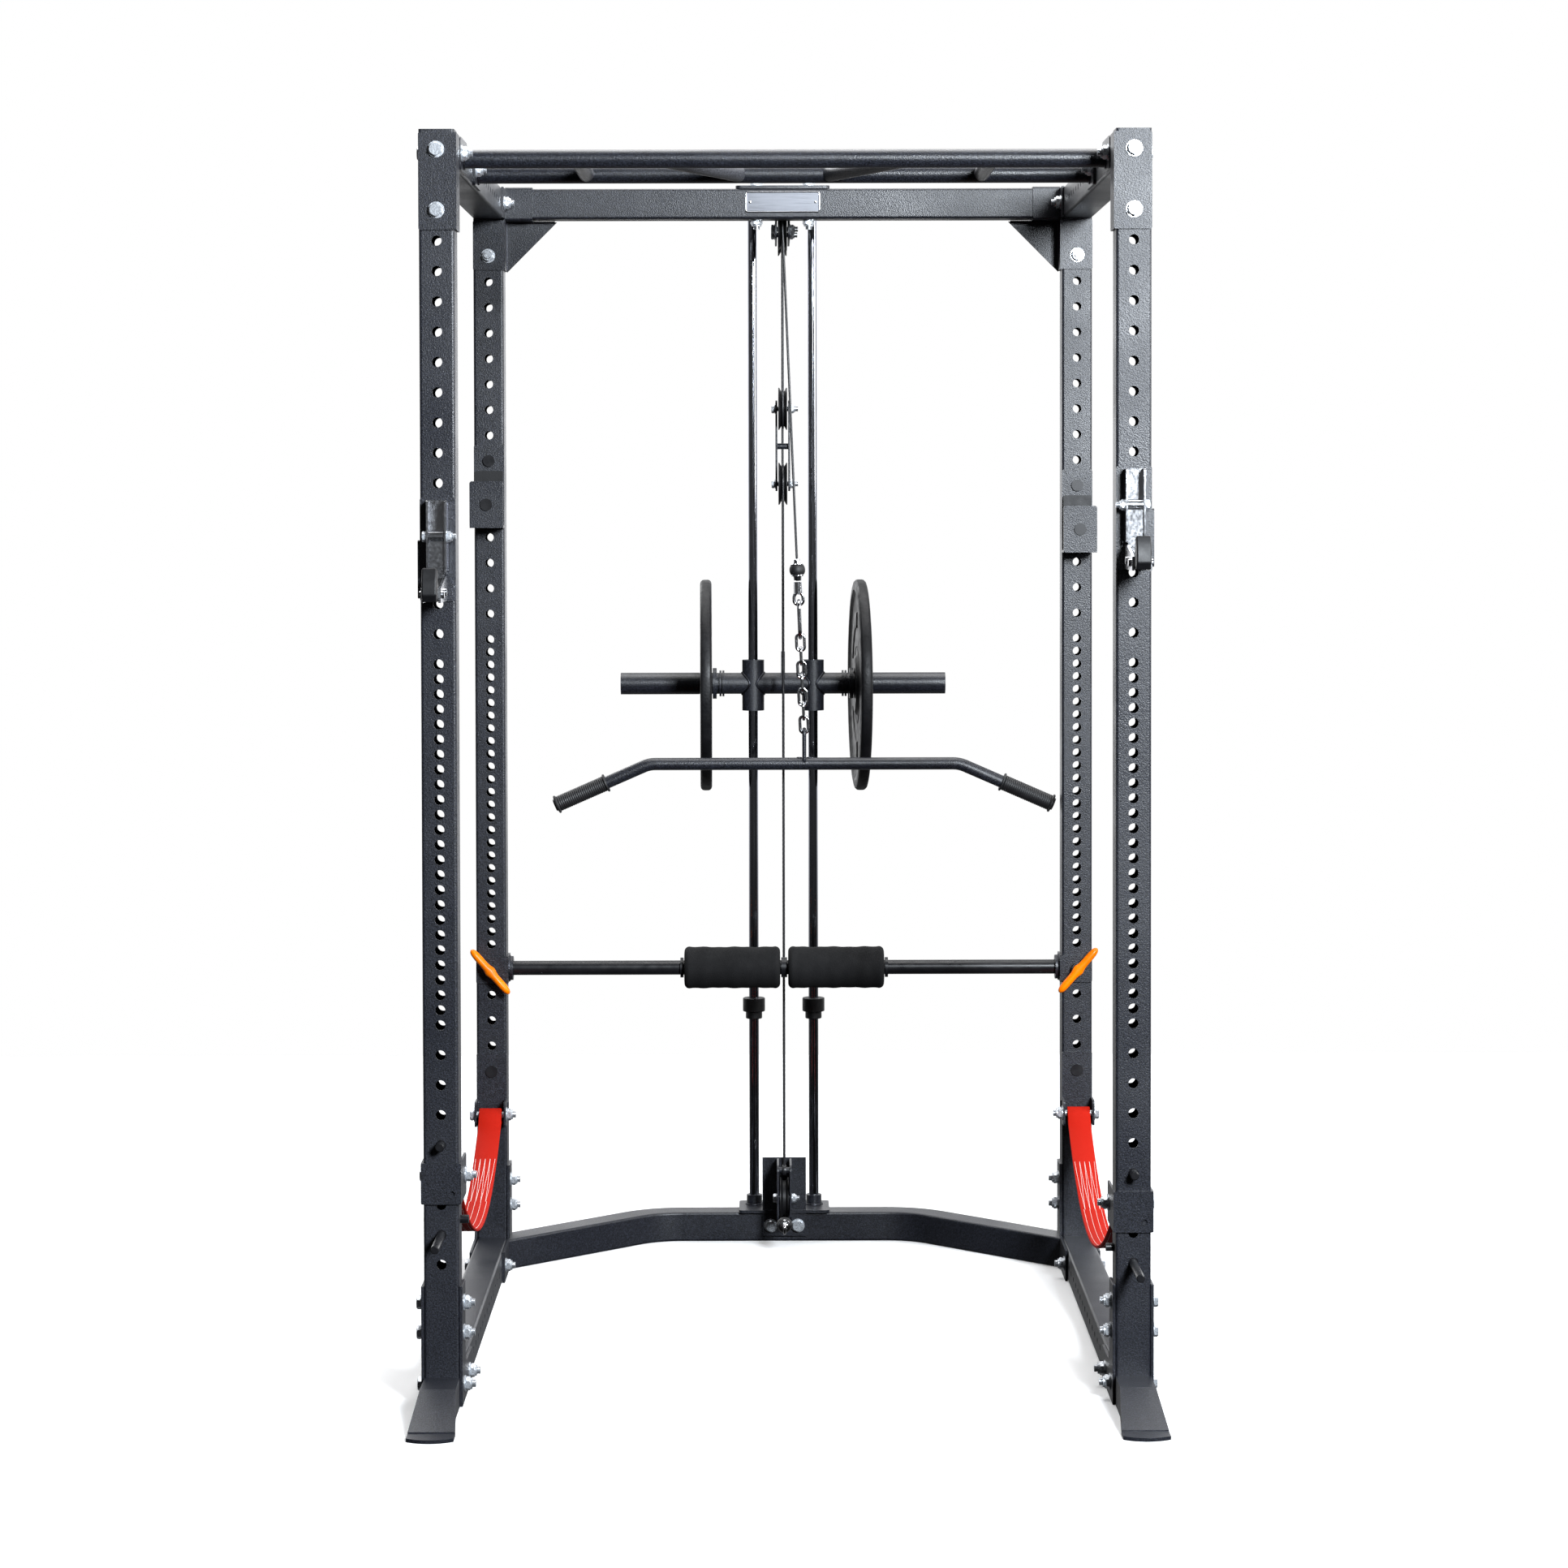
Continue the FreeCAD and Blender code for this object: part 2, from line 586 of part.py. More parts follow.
def safety_strap(side):
    """A webbing strap with an eye around each of its bolts."""
    height = strap_curve(side)
    ys = [STRAP_BOLT_Y + (STRAP_REAR[0] - STRAP_BOLT_Y) * step / 12 for step in range(13)]
    x0 = side * SIDE - STRAP_WIDTH / 2
    rows = []
    for offset in (-STRAP_THICK / 2, STRAP_THICK / 2):
        line = []
        for y in ys:
            slope = math.atan2(height(y + 1) - height(y - 1), 2)
            line.append(V(x0, y - offset * math.sin(slope), height(y) + offset * math.cos(slope)))
        curve = Part.BSplineCurve()
        curve.interpolate(line)
        rows.append((curve.toShape(), line))
    (lower, low_line), (upper, high_line) = rows
    ends = [Part.LineSegment(low_line[i], high_line[i]).toShape() for i in (0, -1)]
    face = Part.Face(Part.Wire(Part.__sortEdges__([lower, ends[1], upper, ends[0]])))
    web = face.extrude(V(STRAP_WIDTH, 0, 0))
    bolts = ((STRAP_BOLT_Y, STRAP_BOLT_Z[side]), STRAP_REAR)
    eyes = [rod_x(x0, x0 + STRAP_WIDTH, bolt, 14) for bolt in bolts]
    bores = [rod_x(x0 - 1, x0 + STRAP_WIDTH + 1, bolt, M12["hole"]) for bolt in bolts]
    return fuse([web, *eyes]).cut(bores)


def pegs():
    """Loose pins, band pegs and screws in the uprights."""
    solids = []
    for side in SIDES:
        x = side * SIDE
        low = STRAP_BOLT_Z[side]
        for z, radius, reach in ((low + 65.2, 7.5, 25), (low - 87.2, 7.0, 125)):
            peg = rod_y(-HALF - reach, -HALF, (x, z), radius)
            tip = [e for e in peg.Edges if e.BoundBox.YMax < -HALF - reach + 1]
            solids.append(peg.makeChamfer(1.5, tip).fuse(rod_y(-HALF, HALF - 6, (x, z), 8)))
        solids.append(rod_x(side * (INNER - 14), side * (OUTER + 2), (0, side_pin_z(side)), 7))
        pin, face = CUP_PIN[side], DEPTH - HALF
        head = rod_y(face - PLATE - 5, face - PLATE, (x, pin), 11.5)
        solids.append(head.fuse(rod_y(face - PLATE, face + 20, (x, pin), 8)))
        solids.append(rod_y(1007.5, 1011, (x, pin - 87), 12))
        disc_z = NARROW_BOTTOM - 5 * WIDE_PITCH
        solids.append(rod_y(face - PLATE - 3, face - PLATE, (x, disc_z), 12))
    return solids


# ---- leg hold-down ----

def leg_bar():
    """The bar that holds the lifter's legs down, with collars beside its rollers."""
    centre = (DEPTH, LEG_BAR_Z)
    neck = INNER - PLATE - 8
    solids = [rod_x(-neck, neck, centre, LEG_BAR_R), rod_x(-neck - 8, neck + 8, centre, 10)]
    solids += [rod_x(low, low + width, centre, 20) for low, width in ((-208, 6), (-6, 12), (202, 6))]
    return fuse(solids)


def leg_bar_bracket(side):
    """Plates on a rear upright that carry one end of the leg bar and its lock pin."""
    face, centre = DEPTH - HALF, (DEPTH, LEG_BAR_Z)
    edge = side * (INNER - PLATE)
    heights = (LEG_BAR_Z - 27, LEG_BAR_Z + 27)
    front = box((edge, side * OUTER), (face - PLATE, face), heights)
    inner = box((edge, side * INNER), (face - PLATE, DEPTH + HALF), heights)
    flange = ring_x(edge - side * 8, edge, centre, 24, 10.05)
    barrel = rod_y(face - PLATE - 14, face - PLATE, (side * SIDE, LEG_BAR_Z), 12)
    bore = rod_y(face - PLATE - 15, face + 1, (side * SIDE, LEG_BAR_Z), 8)
    return fuse([rounded(front, Y_AXIS, 4), inner, flange, barrel]).cut(bore)


def lens_outline(y, half, middle_r, end_r):
    """A long outline in the XZ plane: a wide circle and two smaller end circles, joined by tangents."""
    lean = math.asin((middle_r - end_r) / half)
    across, along = math.cos(lean), math.sin(lean)
    edges = []
    for side in SIDES:
        middle = [V(side * middle_r * along, y, up * middle_r * across) for up in SIDES]
        end = [V(side * (half + end_r * along), y, up * end_r * across) for up in SIDES]
        edges += [Part.LineSegment(middle[i], end[i]).toShape() for i in (0, 1)]
        edges.append(Part.Arc(end[0], V(side * (half + end_r), y, 0), end[1]).toShape())
        opposite = V(-side * middle_r * along, y, side * middle_r * across)
        nearest = V(side * middle_r * along, y, side * middle_r * across)
        edges.append(Part.Arc(opposite, V(0, y, side * middle_r), nearest).toShape())
    return Part.Wire(Part.__sortEdges__(edges))


def lock_handle(side):
    """A slanted pull handle on the pin that locks the leg bar."""
    face = DEPTH - HALF
    front, back = face - PLATE - 33, face - PLATE - 19
    lens = Part.Face(lens_outline(front, 52.5, 9.5, 6.0)).extrude(V(0, back - front, 0))
    lens = lens.makeFillet(3, [e for e in lens.Edges if e.BoundBox.YLength < 0.01])
    boss = rod_y(back - 1, back + 4.5, (0, 0), 10)
    pin = rod_y(back, face + 14, (0, 0), 7.9)
    handle = fuse([lens, boss, pin])
    handle.rotate(V(0, 0, 0), Y_AXIS, -45 * side)
    handle.translate(V(side * SIDE, 0, LEG_BAR_Z))
    return handle


def leg_roller(side):
    return ring_x(side * 8, side * 200, (DEPTH, LEG_BAR_Z), 42, LEG_BAR_R + RUNNING)


# ---- tower ----

def tower_top_bracket():
    """The plate over the top crossbeam that holds the guide rods and the upper pulleys."""
    plate = box((-93.5, 93.5), (DEPTH - HALF, TOWER_Y + 30), (UPRIGHT_TOP, UPRIGHT_TOP + 6))
    sockets = [ring((side * ROD_X, TOWER_Y, 2125), (side * ROD_X, TOWER_Y, UPRIGHT_TOP), 16, ROD_R)
               for side in SIDES]
    cheeks = [box((side * CHEEK[0], side * CHEEK[1]), (1165, 1410), (2060, UPRIGHT_TOP)) for side in SIDES]
    return fuse([rounded(plate, Z_AXIS, 10), *sockets, *[rounded(c, X_AXIS, 12) for c in cheeks]])


def tower_base():
    """The plates on the rear floor beam that hold the guide rods and the low pulley."""
    face = BOW_KNEE[1] - HALF
    top = rounded(box((-93.5, 93.5), (face - 10, TOWER_Y + 38), (TUBE, TUBE + 6)), Z_AXIS, 8)
    front = box((-45, 45), (face - 6, face), (12, 175))
    cheeks = [box((s * CHEEK[0], s * CHEEK[1]), (1235, face - 6), (60, 175)) for s in SIDES]
    sockets = [ring((s * ROD_X, TOWER_Y, TUBE + 6), (s * ROD_X, TOWER_Y, TUBE + 26), 16, ROD_R)
               for s in SIDES]
    pin = rod_x(-CHEEK[1], CHEEK[1], ANCHOR, 6)
    return fuse([top, front, *[rounded(c, X_AXIS, 12) for c in cheeks], *sockets, pin])


def guide_rods():
    return [rod((s * ROD_X, TOWER_Y, TUBE + 6), (s * ROD_X, TOWER_Y, UPRIGHT_TOP), ROD_R) for s in SIDES]


def rod_bumpers():
    """A rubber stop over a collar on each guide rod."""
    solids = []
    for side in SIDES:
        for low, high, radius in ((455, 470, 17), (470, 498, 23)):
            stop = ring((side * ROD_X, TOWER_Y, low), (side * ROD_X, TOWER_Y, high), radius, ROD_R)
            solids.append(stop)
    return solids


def pulley(centre):
    """A grooved wheel on its axle."""
    rim, groove, half = PULLEY_R, GROOVE_R, PULLEY_HALF
    bore = M10["shank"] + RUNNING
    profile = [(-half, bore), (-half, rim), (-7, rim), (-3, groove), (3, groove), (7, rim), (half, rim),
               (half, bore)]
    corners = [V(x, centre[0], centre[1] + r) for x, r in profile]
    face = Part.Face(Part.makePolygon(corners + corners[:1]))
    wheel = face.revolve(V(0, *centre), X_AXIS, 360)
    recesses = [ring_x(s * (half - 4), s * (half + 1), centre, 30, 12) for s in SIDES]
    return wheel.cut(recesses)


def pulley_block():
    """Two cheek plates that carry one wheel above the other between the cables."""
    low, high = BLOCK_LOWER[1] - 15, BLOCK_UPPER[1] + 17
    cheeks = [box((s * CHEEK[0], s * CHEEK[1]), (BLOCK_Y - 14, BLOCK_Y + 14), (low, high)) for s in SIDES]
    middle = (BLOCK_Y, (BLOCK_LOWER[1] + BLOCK_UPPER[1]) / 2)
    bridge = rod_x(-CHEEK[1], CHEEK[1], middle, 6)
    return fuse([*[rounded(cheek, X_AXIS, 9) for cheek in cheeks], bridge])


def cable_along(edges):
    return round_sweep(Part.Wire(edges), CABLE_R)


def wrap(centre, angles, radius=WRAP_R):
    """A cable arc about a pulley, from the first to the last of three angles in the YZ plane."""
    points = [V(0, centre[0] + radius * math.cos(math.radians(a)),
                centre[1] + radius * math.sin(math.radians(a))) for a in angles]
    return Part.Arc(*points).toShape()


def run(start, end):
    return Part.LineSegment(V(0, *start), V(0, *end)).toShape()


def high_cable():
    """The cable over the front pulley, under the block and over the rear pulley."""
    front_y, rear_y = BLOCK_Y - WRAP_R, BLOCK_Y + WRAP_R
    top, block = FRONT_PULLEY[1], BLOCK_UPPER[1]
    return cable_along([
        wrap(FRONT_PULLEY, (180, 90, 0)),
        run((front_y, top), (front_y, block)),
        wrap(BLOCK_UPPER, (180, 270, 360)),
        run((rear_y, block), (rear_y, top)),
        wrap(REAR_PULLEY, (180, 90, 0)),
    ])


def low_cable():
    """The cable from its anchor over the block's lower wheel and under the low pulley."""
    front_y, rear_y = BLOCK_Y - WRAP_R, BLOCK_Y + WRAP_R
    floor_z = LOW_PULLEY[1] - WRAP_R
    cable = cable_along([
        run((front_y, ANCHOR[1] + 8), (front_y, BLOCK_LOWER[1])),
        wrap(BLOCK_LOWER, (180, 90, 0)),
        run((rear_y, BLOCK_LOWER[1]), (rear_y, LOW_PULLEY[1])),
        wrap(LOW_PULLEY, (0, -45, -90)),
        run((BLOCK_Y, floor_z), (1226, floor_z)),
    ])
    eye = ring_x(-4, 4, ANCHOR, 10.5, 6 + RUNNING)
    return fuse([cable, eye])


def stop_ball(centre, direction):
    """A rubber ball on a cable end with a metal collar on each side."""
    centre, direction = V(*centre), V(*direction)
    ball = Part.makeSphere(BALL_R, centre)
    neck = centre - direction * (BALL_R + 8)
    return fuse([ball, rod(tuple(neck), tuple(centre + direction * (BALL_R + 8)), 8.5)])


def low_cable_stop():
    """The ball and ring on the end of the low cable."""
    z = LOW_PULLEY[1] - WRAP_R
    ball = stop_ball((0, 1202, z), (0, -1, 0))
    eye = Part.makeTorus(10, 3, V(0, 1167, z), X_AXIS)
    return fuse([ball, eye])


def line_point(distance):
    """A point on the leaning line, measured down from the front pulley."""
    return (distance * math.sin(LEAN), LINE_Y, FRONT_PULLEY[1] - distance * math.cos(LEAN))


def front_cable_run():
    return rod(line_point(0.3), line_point(BALL_AT - BALL_R - 8), CABLE_R)


def carriage_cable_run():
    top = FRONT_PULLEY[1]
    return rod((0, TOWER_Y, top), (0, TOWER_Y, CARRIAGE_Z + 66), CABLE_R)


def cable_stop():
    down = (math.sin(LEAN), 0, -math.cos(LEAN))
    return stop_ball(line_point(BALL_AT), down)


CLIP_TOP = BALL_AT + BALL_R + 8
SWIVEL_LENGTH = 24.0
SNAP = (22.0, 15.0, 4.0)
CHAIN = (9.0, 8.0, 3.0)
CHAIN_LINKS = 7
LINK_GAP = 0.3


def lat_clip():
    """The swivel, snap link and chain between the cable's ball and the bar, all in line."""
    def link(top, size, across):
        straight, bend_r, wire_r = size
        middle = top + straight + bend_r
        upright_link = stadium_link((0, LINE_Y, FRONT_PULLEY[1] - middle), straight, bend_r, wire_r, across)
        upright_link.rotate(V(0, LINE_Y, FRONT_PULLEY[1]), Y_AXIS, -math.degrees(LEAN))
        return upright_link, middle + straight + bend_r

    swivel = rod(line_point(CLIP_TOP), line_point(CLIP_TOP + SWIVEL_LENGTH), 9)
    eye, bottom = link(CLIP_TOP + SWIVEL_LENGTH - 2, (3.0, 9.0, 3.5), (1, 0, 0))
    solids = [fuse([swivel, eye])]
    snap, bottom = link(bottom - 3.5 - SNAP[2] - LINK_GAP, SNAP, (0, 1, 0))
    solids.append(snap)
    wire_above = SNAP[2]
    for number in range(CHAIN_LINKS):
        across = (0, 1, 0) if number % 2 else (1, 0, 0)
        chain_link, bottom = link(bottom - wire_above - CHAIN[2] - LINK_GAP, CHAIN, across)
        solids.append(chain_link)
        wire_above = CHAIN[2]
    return solids, bottom


def lat_bar(eye_top):
    """The pulldown bar with bent ends and a wire eye on top, level under the leaning line."""
    middle = line_point(eye_top)
    x, y = middle[0], middle[1]
    route = [(x - LAT_HALF, y, LAT_END_Z), (x - LAT_HALF_STRAIGHT, y, LAT_Z),
             (x + LAT_HALF_STRAIGHT, y, LAT_Z), (x + LAT_HALF, y, LAT_END_Z)]
    path = bent_path(route, LAT_BEND_R)
    tube = round_sweep(path, LAT_R).cut(round_sweep(path, LAT_R - WALL))
    caps_at = [(route[0], route[1]), (route[-1], route[-2])]
    ends = []
    for tip, before in caps_at:
        along = (V(*before) - V(*tip)).normalize()
        ends.append(rod(tip, tuple(V(*tip) + along * 3), LAT_R))
    straight = (middle[2] - LAT_Z - 20) / 2
    eye = stadium_link((x, y, middle[2] - straight - 10), straight, 10, 4, (0, 1, 0))
    eye = eye.cut(rod_x(x - 30, x + 30, (y, LAT_Z), LAT_R - WALL / 2))
    return fuse([tube, *ends, eye])


def lat_bar_grips(eye_top):
    """A rubber grip with flanged ends on each bent end of the bar."""
    x, y, _ = line_point(eye_top)
    slope = (LAT_Z - LAT_END_Z) / (LAT_HALF - LAT_HALF_STRAIGHT)
    grips = []
    for side in SIDES:
        def at(reach, side=side):
            return V(x + side * reach, y, LAT_Z - (reach - LAT_HALF_STRAIGHT) * slope)

        near, far = at(398), at(500)
        along = (far - near).normalize()
        spans = [(near, far, 16), (near, near + along * 4, 19), (far - along * 4, far, 19)]
        body = fuse([rod(tuple(a), tuple(b), radius) for a, b, radius in spans])
        grips.append(body.cut(rod(tuple(near - along), tuple(far + along), LAT_R + RUNNING)))
    return grips


# ---- weight carriage ----

def weight_carriage():
    """Two sleeves on the guide rods, joined by the horns that carry the weight plates.

    The middle is turned under size as far as the first plate's seat, and the two ends are turned
    to slightly different sizes.
    """
    centre = (TOWER_Y, CARRIAGE_Z)
    solids = [rod_x(-HORN_END, HORN_END, centre, SEAT_R)]
    seat_end = DISC_INNER + DISC_THICK + 2
    solids += [rod_x(side * seat_end, side * HORN_END, centre, HORN_R[side]) for side in SIDES]
    for side in SIDES:
        solids.append(rod((side * ROD_X, TOWER_Y, 1098), (side * ROD_X, TOWER_Y, 1203), 22.8))
        for low, high, radius in ((138, 146, 32), (122, 126, 27), (128, 132, 27)):
            solids.append(rod_x(side * low, side * high, centre, radius))
    solids.append(box((-4, 4), (TOWER_Y - 18, TOWER_Y + 18), (CARRIAGE_Z, CARRIAGE_Z + 66)))
    bores = [rod((s * ROD_X, TOWER_Y, 1000), (s * ROD_X, TOWER_Y, 1300), ROD_R + RUNNING) for s in SIDES]
    hollows = [rod_x(s * 92, s * (HORN_END - 8), centre, SEAT_R - HORN_WALL) for s in SIDES]
    return fuse(solids).cut(bores + hollows)


def weight_disc(side):
    """One iron plate, resting on the horn by the top of its hole."""
    middle = DISC_INNER + DISC_THICK / 2
    half, web = DISC_THICK / 2, 6.0
    profile = [(-half, DISC_HOLE_R), (-half, 58), (-web, 64), (-web, 190), (-half, 197), (-half, DISC_R - 3),
               (-half + 3, DISC_R), (half - 3, DISC_R), (half, DISC_R - 3), (half, 197), (web, 190),
               (web, 64), (half, 58), (half, DISC_HOLE_R)]
    corners = [V(x, 0, r) for x, r in profile]
    disc = Part.Face(Part.makePolygon(corners + corners[:1])).revolve(V(0, 0, 0), X_AXIS, 360)
    disc.rotate(V(0, 0, 0), Z_AXIS, DISC_YAW[side])
    disc.translate(V(side * middle, TOWER_Y, CARRIAGE_Z - DISC_DROP))
    return disc


# ---- assembly ----

def all_nodes():
    """Every node's solids by name. Bolt holes are drilled in the steel that bolts pass through."""
    top, floor = UPRIGHT_TOP - TUBE, 0
    clip, eye_top = lat_clip()
    eye_top -= CHAIN[2] + 4 + LINK_GAP
    bolts, nuts = fastener_solids()
    strap_brackets = strap_bracket(-1) + strap_bracket(1)
    beam = (INNER - PLATE, DEPTH - HALF, DEPTH + HALF)
    crossbeam = square_tube((-beam[0], beam[0]), beam[1:], (top, UPRIGHT_TOP), X_AXIS)
    badge = box((-74, 74), (beam[1] - 1.5, beam[1]), (2105, 2147))
    gussets = [base_gusset(side, inner, rear) for side in SIDES
               for inner, rear in ((True, False), (False, False), (False, True))]
    steel = {
        "front_left_upright": [upright(-1, 0, True)],
        "front_right_upright": [upright(1, 0, True)],
        "rear_left_upright": [upright(-1, DEPTH, False)],
        "rear_right_upright": [upright(1, DEPTH, False)],
        "top_left_beam": [side_beam(-1, top)],
        "top_right_beam": [side_beam(1, top)],
        "bottom_left_beam": [side_beam(-1, floor)],
        "bottom_right_beam": [side_beam(1, floor)],
        "rear_top_crossbeam": [crossbeam],
        "rear_bottom_crossbeam": [rear_floor_beam()],
        "front_top_brackets": pair(front_top_bracket),
        "rear_corner_brackets": pair(rear_corner_bracket),
        "front_pull_up_bar": [pull_up_bar(FRONT_BAR)],
        "rear_pull_up_bar": [pull_up_bar(REAR_BAR)],
        "base_gussets": gussets,
        "strap_brackets": strap_brackets,
        "hook_channels": pair(hook_channel),
        "tower_top_bracket": [tower_top_bracket()],
        "tower_base": [tower_base()],
        "pulley_block": [pulley_block()],
    }
    others = {
        "upright_caps": caps(),
        "nameplate": [rounded(badge, Y_AXIS, 5)],
        "pull_up_grips": pull_up_grips(),
        "front_feet": pair(front_foot),
        "hex_bolts": bolts,
        "lock_nuts": nuts,
        "rack_pins": pegs(),
        "j_cups": pair(j_cup),
        "j_cup_liners": pair(j_cup_liner),
        "left_safety_strap": [safety_strap(-1)],
        "right_safety_strap": [safety_strap(1)],
        "leg_bar": [leg_bar()],
        "leg_bar_brackets": pair(leg_bar_bracket),
        "left_leg_roller": [leg_roller(-1)],
        "right_leg_roller": [leg_roller(1)],
        "left_lock_handle": [lock_handle(-1)],
        "right_lock_handle": [lock_handle(1)],
        "hook_mounts": pair(hook_mount),
        "left_hook_arm": [hook_arm(-1)],
        "left_hook_pad": [hook_pad(-1)],
        "right_hook_arm": [hook_arm(1)],
        "right_hook_pad": [hook_pad(1)],
        "guide_rods": guide_rods(),
        "rod_bumpers": rod_bumpers(),
        "top_front_pulley": [pulley(FRONT_PULLEY)],
        "top_rear_pulley": [pulley(REAR_PULLEY)],
        "block_upper_pulley": [pulley(BLOCK_UPPER)],
        "block_lower_pulley": [pulley(BLOCK_LOWER)],
        "low_pulley": [pulley(LOW_PULLEY)],
        "weight_carriage": [weight_carriage()],
        "weight_plates": pair(weight_disc),
        "high_cable": [high_cable()],
        "front_cable_run": [front_cable_run()],
        "carriage_cable_run": [carriage_cable_run()],
        "low_cable": [low_cable()],
        "lat_bar": [lat_bar(eye_top)],
        "lat_bar_grips": lat_bar_grips(eye_top),
        "cable_stop": [cable_stop()],
        "lat_clip": clip,
        "low_cable_stop": [low_cable_stop()],
    }
    drilled_steel = {name: [drilled(solid) for solid in solids] for name, solids in steel.items()}
    return {**drilled_steel, **others}


def write_nodes():
    """One STEP file per node, moved so that the middle of the footprint is the origin."""
    os.makedirs("parts", exist_ok=True)
    for name, solids in all_nodes().items():
        shape = solids[0] if len(solids) == 1 else Part.makeCompound(solids)
        shape.translate(V(0, -MIDDLE_Y, 0))
        shape.exportStep(f"parts/{name}.step")
        print(name, len(shape.Solids), "solids", "valid" if shape.isValid() else "INVALID")


write_nodes()
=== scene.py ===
"""The looks of a power cage with a plate-loaded pulldown tower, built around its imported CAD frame.

All lengths are in metres. Points given to rack() are measured as the cage is: X from its centre plane,
Y from midway through the front uprights and Z from the floor.
"""
import math

import bmesh
import bpy
from mathutils import Matrix, Vector


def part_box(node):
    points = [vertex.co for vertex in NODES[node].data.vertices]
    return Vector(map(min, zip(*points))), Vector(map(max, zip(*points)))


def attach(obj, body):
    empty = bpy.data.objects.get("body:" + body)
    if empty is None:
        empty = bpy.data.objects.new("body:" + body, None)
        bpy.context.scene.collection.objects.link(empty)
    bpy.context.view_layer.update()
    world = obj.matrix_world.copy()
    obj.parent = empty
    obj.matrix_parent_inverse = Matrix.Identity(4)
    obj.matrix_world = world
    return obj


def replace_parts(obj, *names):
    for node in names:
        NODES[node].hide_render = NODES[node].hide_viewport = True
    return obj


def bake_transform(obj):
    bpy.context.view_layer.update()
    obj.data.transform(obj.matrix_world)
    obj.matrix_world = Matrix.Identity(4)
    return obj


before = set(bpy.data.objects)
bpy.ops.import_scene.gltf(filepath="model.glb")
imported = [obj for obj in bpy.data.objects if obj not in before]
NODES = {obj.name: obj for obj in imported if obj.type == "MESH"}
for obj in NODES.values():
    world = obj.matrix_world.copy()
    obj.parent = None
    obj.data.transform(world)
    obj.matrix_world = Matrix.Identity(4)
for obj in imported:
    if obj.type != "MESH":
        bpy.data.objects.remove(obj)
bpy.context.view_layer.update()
SIDES = {"left": -1, "right": 1}


def middle(node):
    low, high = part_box(node)
    return (low + high) / 2


FRONT_Y = middle("front_left_upright").y


def rack(x, y, z):
    return Vector((x, y + FRONT_Y, z))


# Camera
CAMERA_AT = rack(-0.0291, -6.105, 1.526)
YAW, PITCH, ROLL = (math.radians(angle) for angle in (0.240, 1.665, -0.120))
LENS_MM = 82.95
SHIFT_Y = -0.1114

# The rows of uprights: half of their spacing across, and the depth of the cage
SIDE_X = 0.585
DEPTH = 1.120
HALF_TUBE = 0.030

# Safety straps
STRAP_FRONT = {"left": (0.055, 0.380), "right": (0.055, 0.329)}
STRAP_REAR = (1.058, 0.313)
STRAP_LENGTH = 1.070
STRAP_WIDTH = 0.045
WEB_THICK = 0.0024
EYE_R = 0.0113
EYE_TAPER = 0.045
THREAD_R = 0.0003
SEAMS = (-0.0165, -0.0055, 0.0055, 0.0165)
# Where along the strap, as a share of its length, the seams begin and the zig-zag begins and ends
SEAM_START = 0.14
ZIGZAG = (0.68, 0.86)
ZIGZAG_HALF = 0.019

# Tower, cable and pulleys
TOWER_Y = 1.402
WRAP_R = 0.0388
FRONT_PULLEY = (1.208, 2.081)
REAR_PULLEY = (TOWER_Y - WRAP_R, 2.081)
BLOCK_Y = FRONT_PULLEY[0] + 2 * WRAP_R
BLOCK_UPPER_Z = 1.721
BLOCK_LOWER_Z = 1.568
LOW_PULLEY_Z = 0.100
ANCHOR_Z = 0.165
LOW_STOP_Y = 1.202
CABLE_R = 0.0024
LEAN = math.radians(2.36)
DOWN = Vector((math.sin(LEAN), 0, -math.cos(LEAN)))
LINE_TOP = rack(0, FRONT_PULLEY[0] - WRAP_R, FRONT_PULLEY[1])
BALL_AT = 0.6877
BALL_R = 0.016
BALL_FLAT = 0.0125
COLLAR = 0.006

# Leg hold-down
LEG_BAR = (DEPTH, 0.5976)
ROLLER_SPAN = (0.008, 0.200)
ROLLER_R = 0.042
LEG_BRACKET = 0.004
HANDLE_REACH = 0.026
HANDLE_Y = DEPTH - HALF_TUBE - LEG_BRACKET - HANDLE_REACH
HANDLE_TURN = math.radians(-49)
HANDLE_HALF = 0.0580
HANDLE_R = 0.0078
HANDLE_DEPTH = 1.25
HUB_RISE = 0.0030
HUB_REACH = 0.0085

# Swing hooks
HOOK_TOP = {"left": 1.538, "right": 1.5888}

# Weight carriage and plates
CARRIAGE_Z = 1.154
DISC_DROP = 0.0033
DISC_MIDDLE = 0.160
DISC_YAW = {"left": math.radians(1.0), "right": math.radians(2.5)}
DISC_R = 0.219
DISC_BORE = 0.0254
HORN_R = 0.0219
SLEEVE_R = 0.0228
ROD_X = 0.062

# Pulldown bar
LAT_MIDDLE = middle("lat_bar")
LAT_Z = 1.003
LAT_STRAIGHT = 0.313
LAT_SLOPE = 0.083 / 0.190
GRIP_SPAN = (0.398, 0.500)
GRIP_BORE = 0.0127

# How far the edges of each sheet-steel or plastic node are rounded
EDGES = {
    0.0007: ("front_top_brackets", "rear_corner_brackets", "base_gussets", "strap_brackets", "hook_mounts",
             "hook_channels", "j_cups", "leg_bar_brackets", "tower_top_bracket", "tower_base",
             "pulley_block", "front_feet", "front_pull_up_bar", "rear_pull_up_bar", "left_hook_arm",
             "right_hook_arm"),
    0.0015: ("upright_caps", "j_cup_liners", "rod_bumpers"),
    0.0030: ("left_hook_pad", "right_hook_pad"),
}

# Edges that turn by more degrees than this are rounded; the feet have a shallow shoulder
CREASE = 38.0
FOOT_CREASE = 14.0

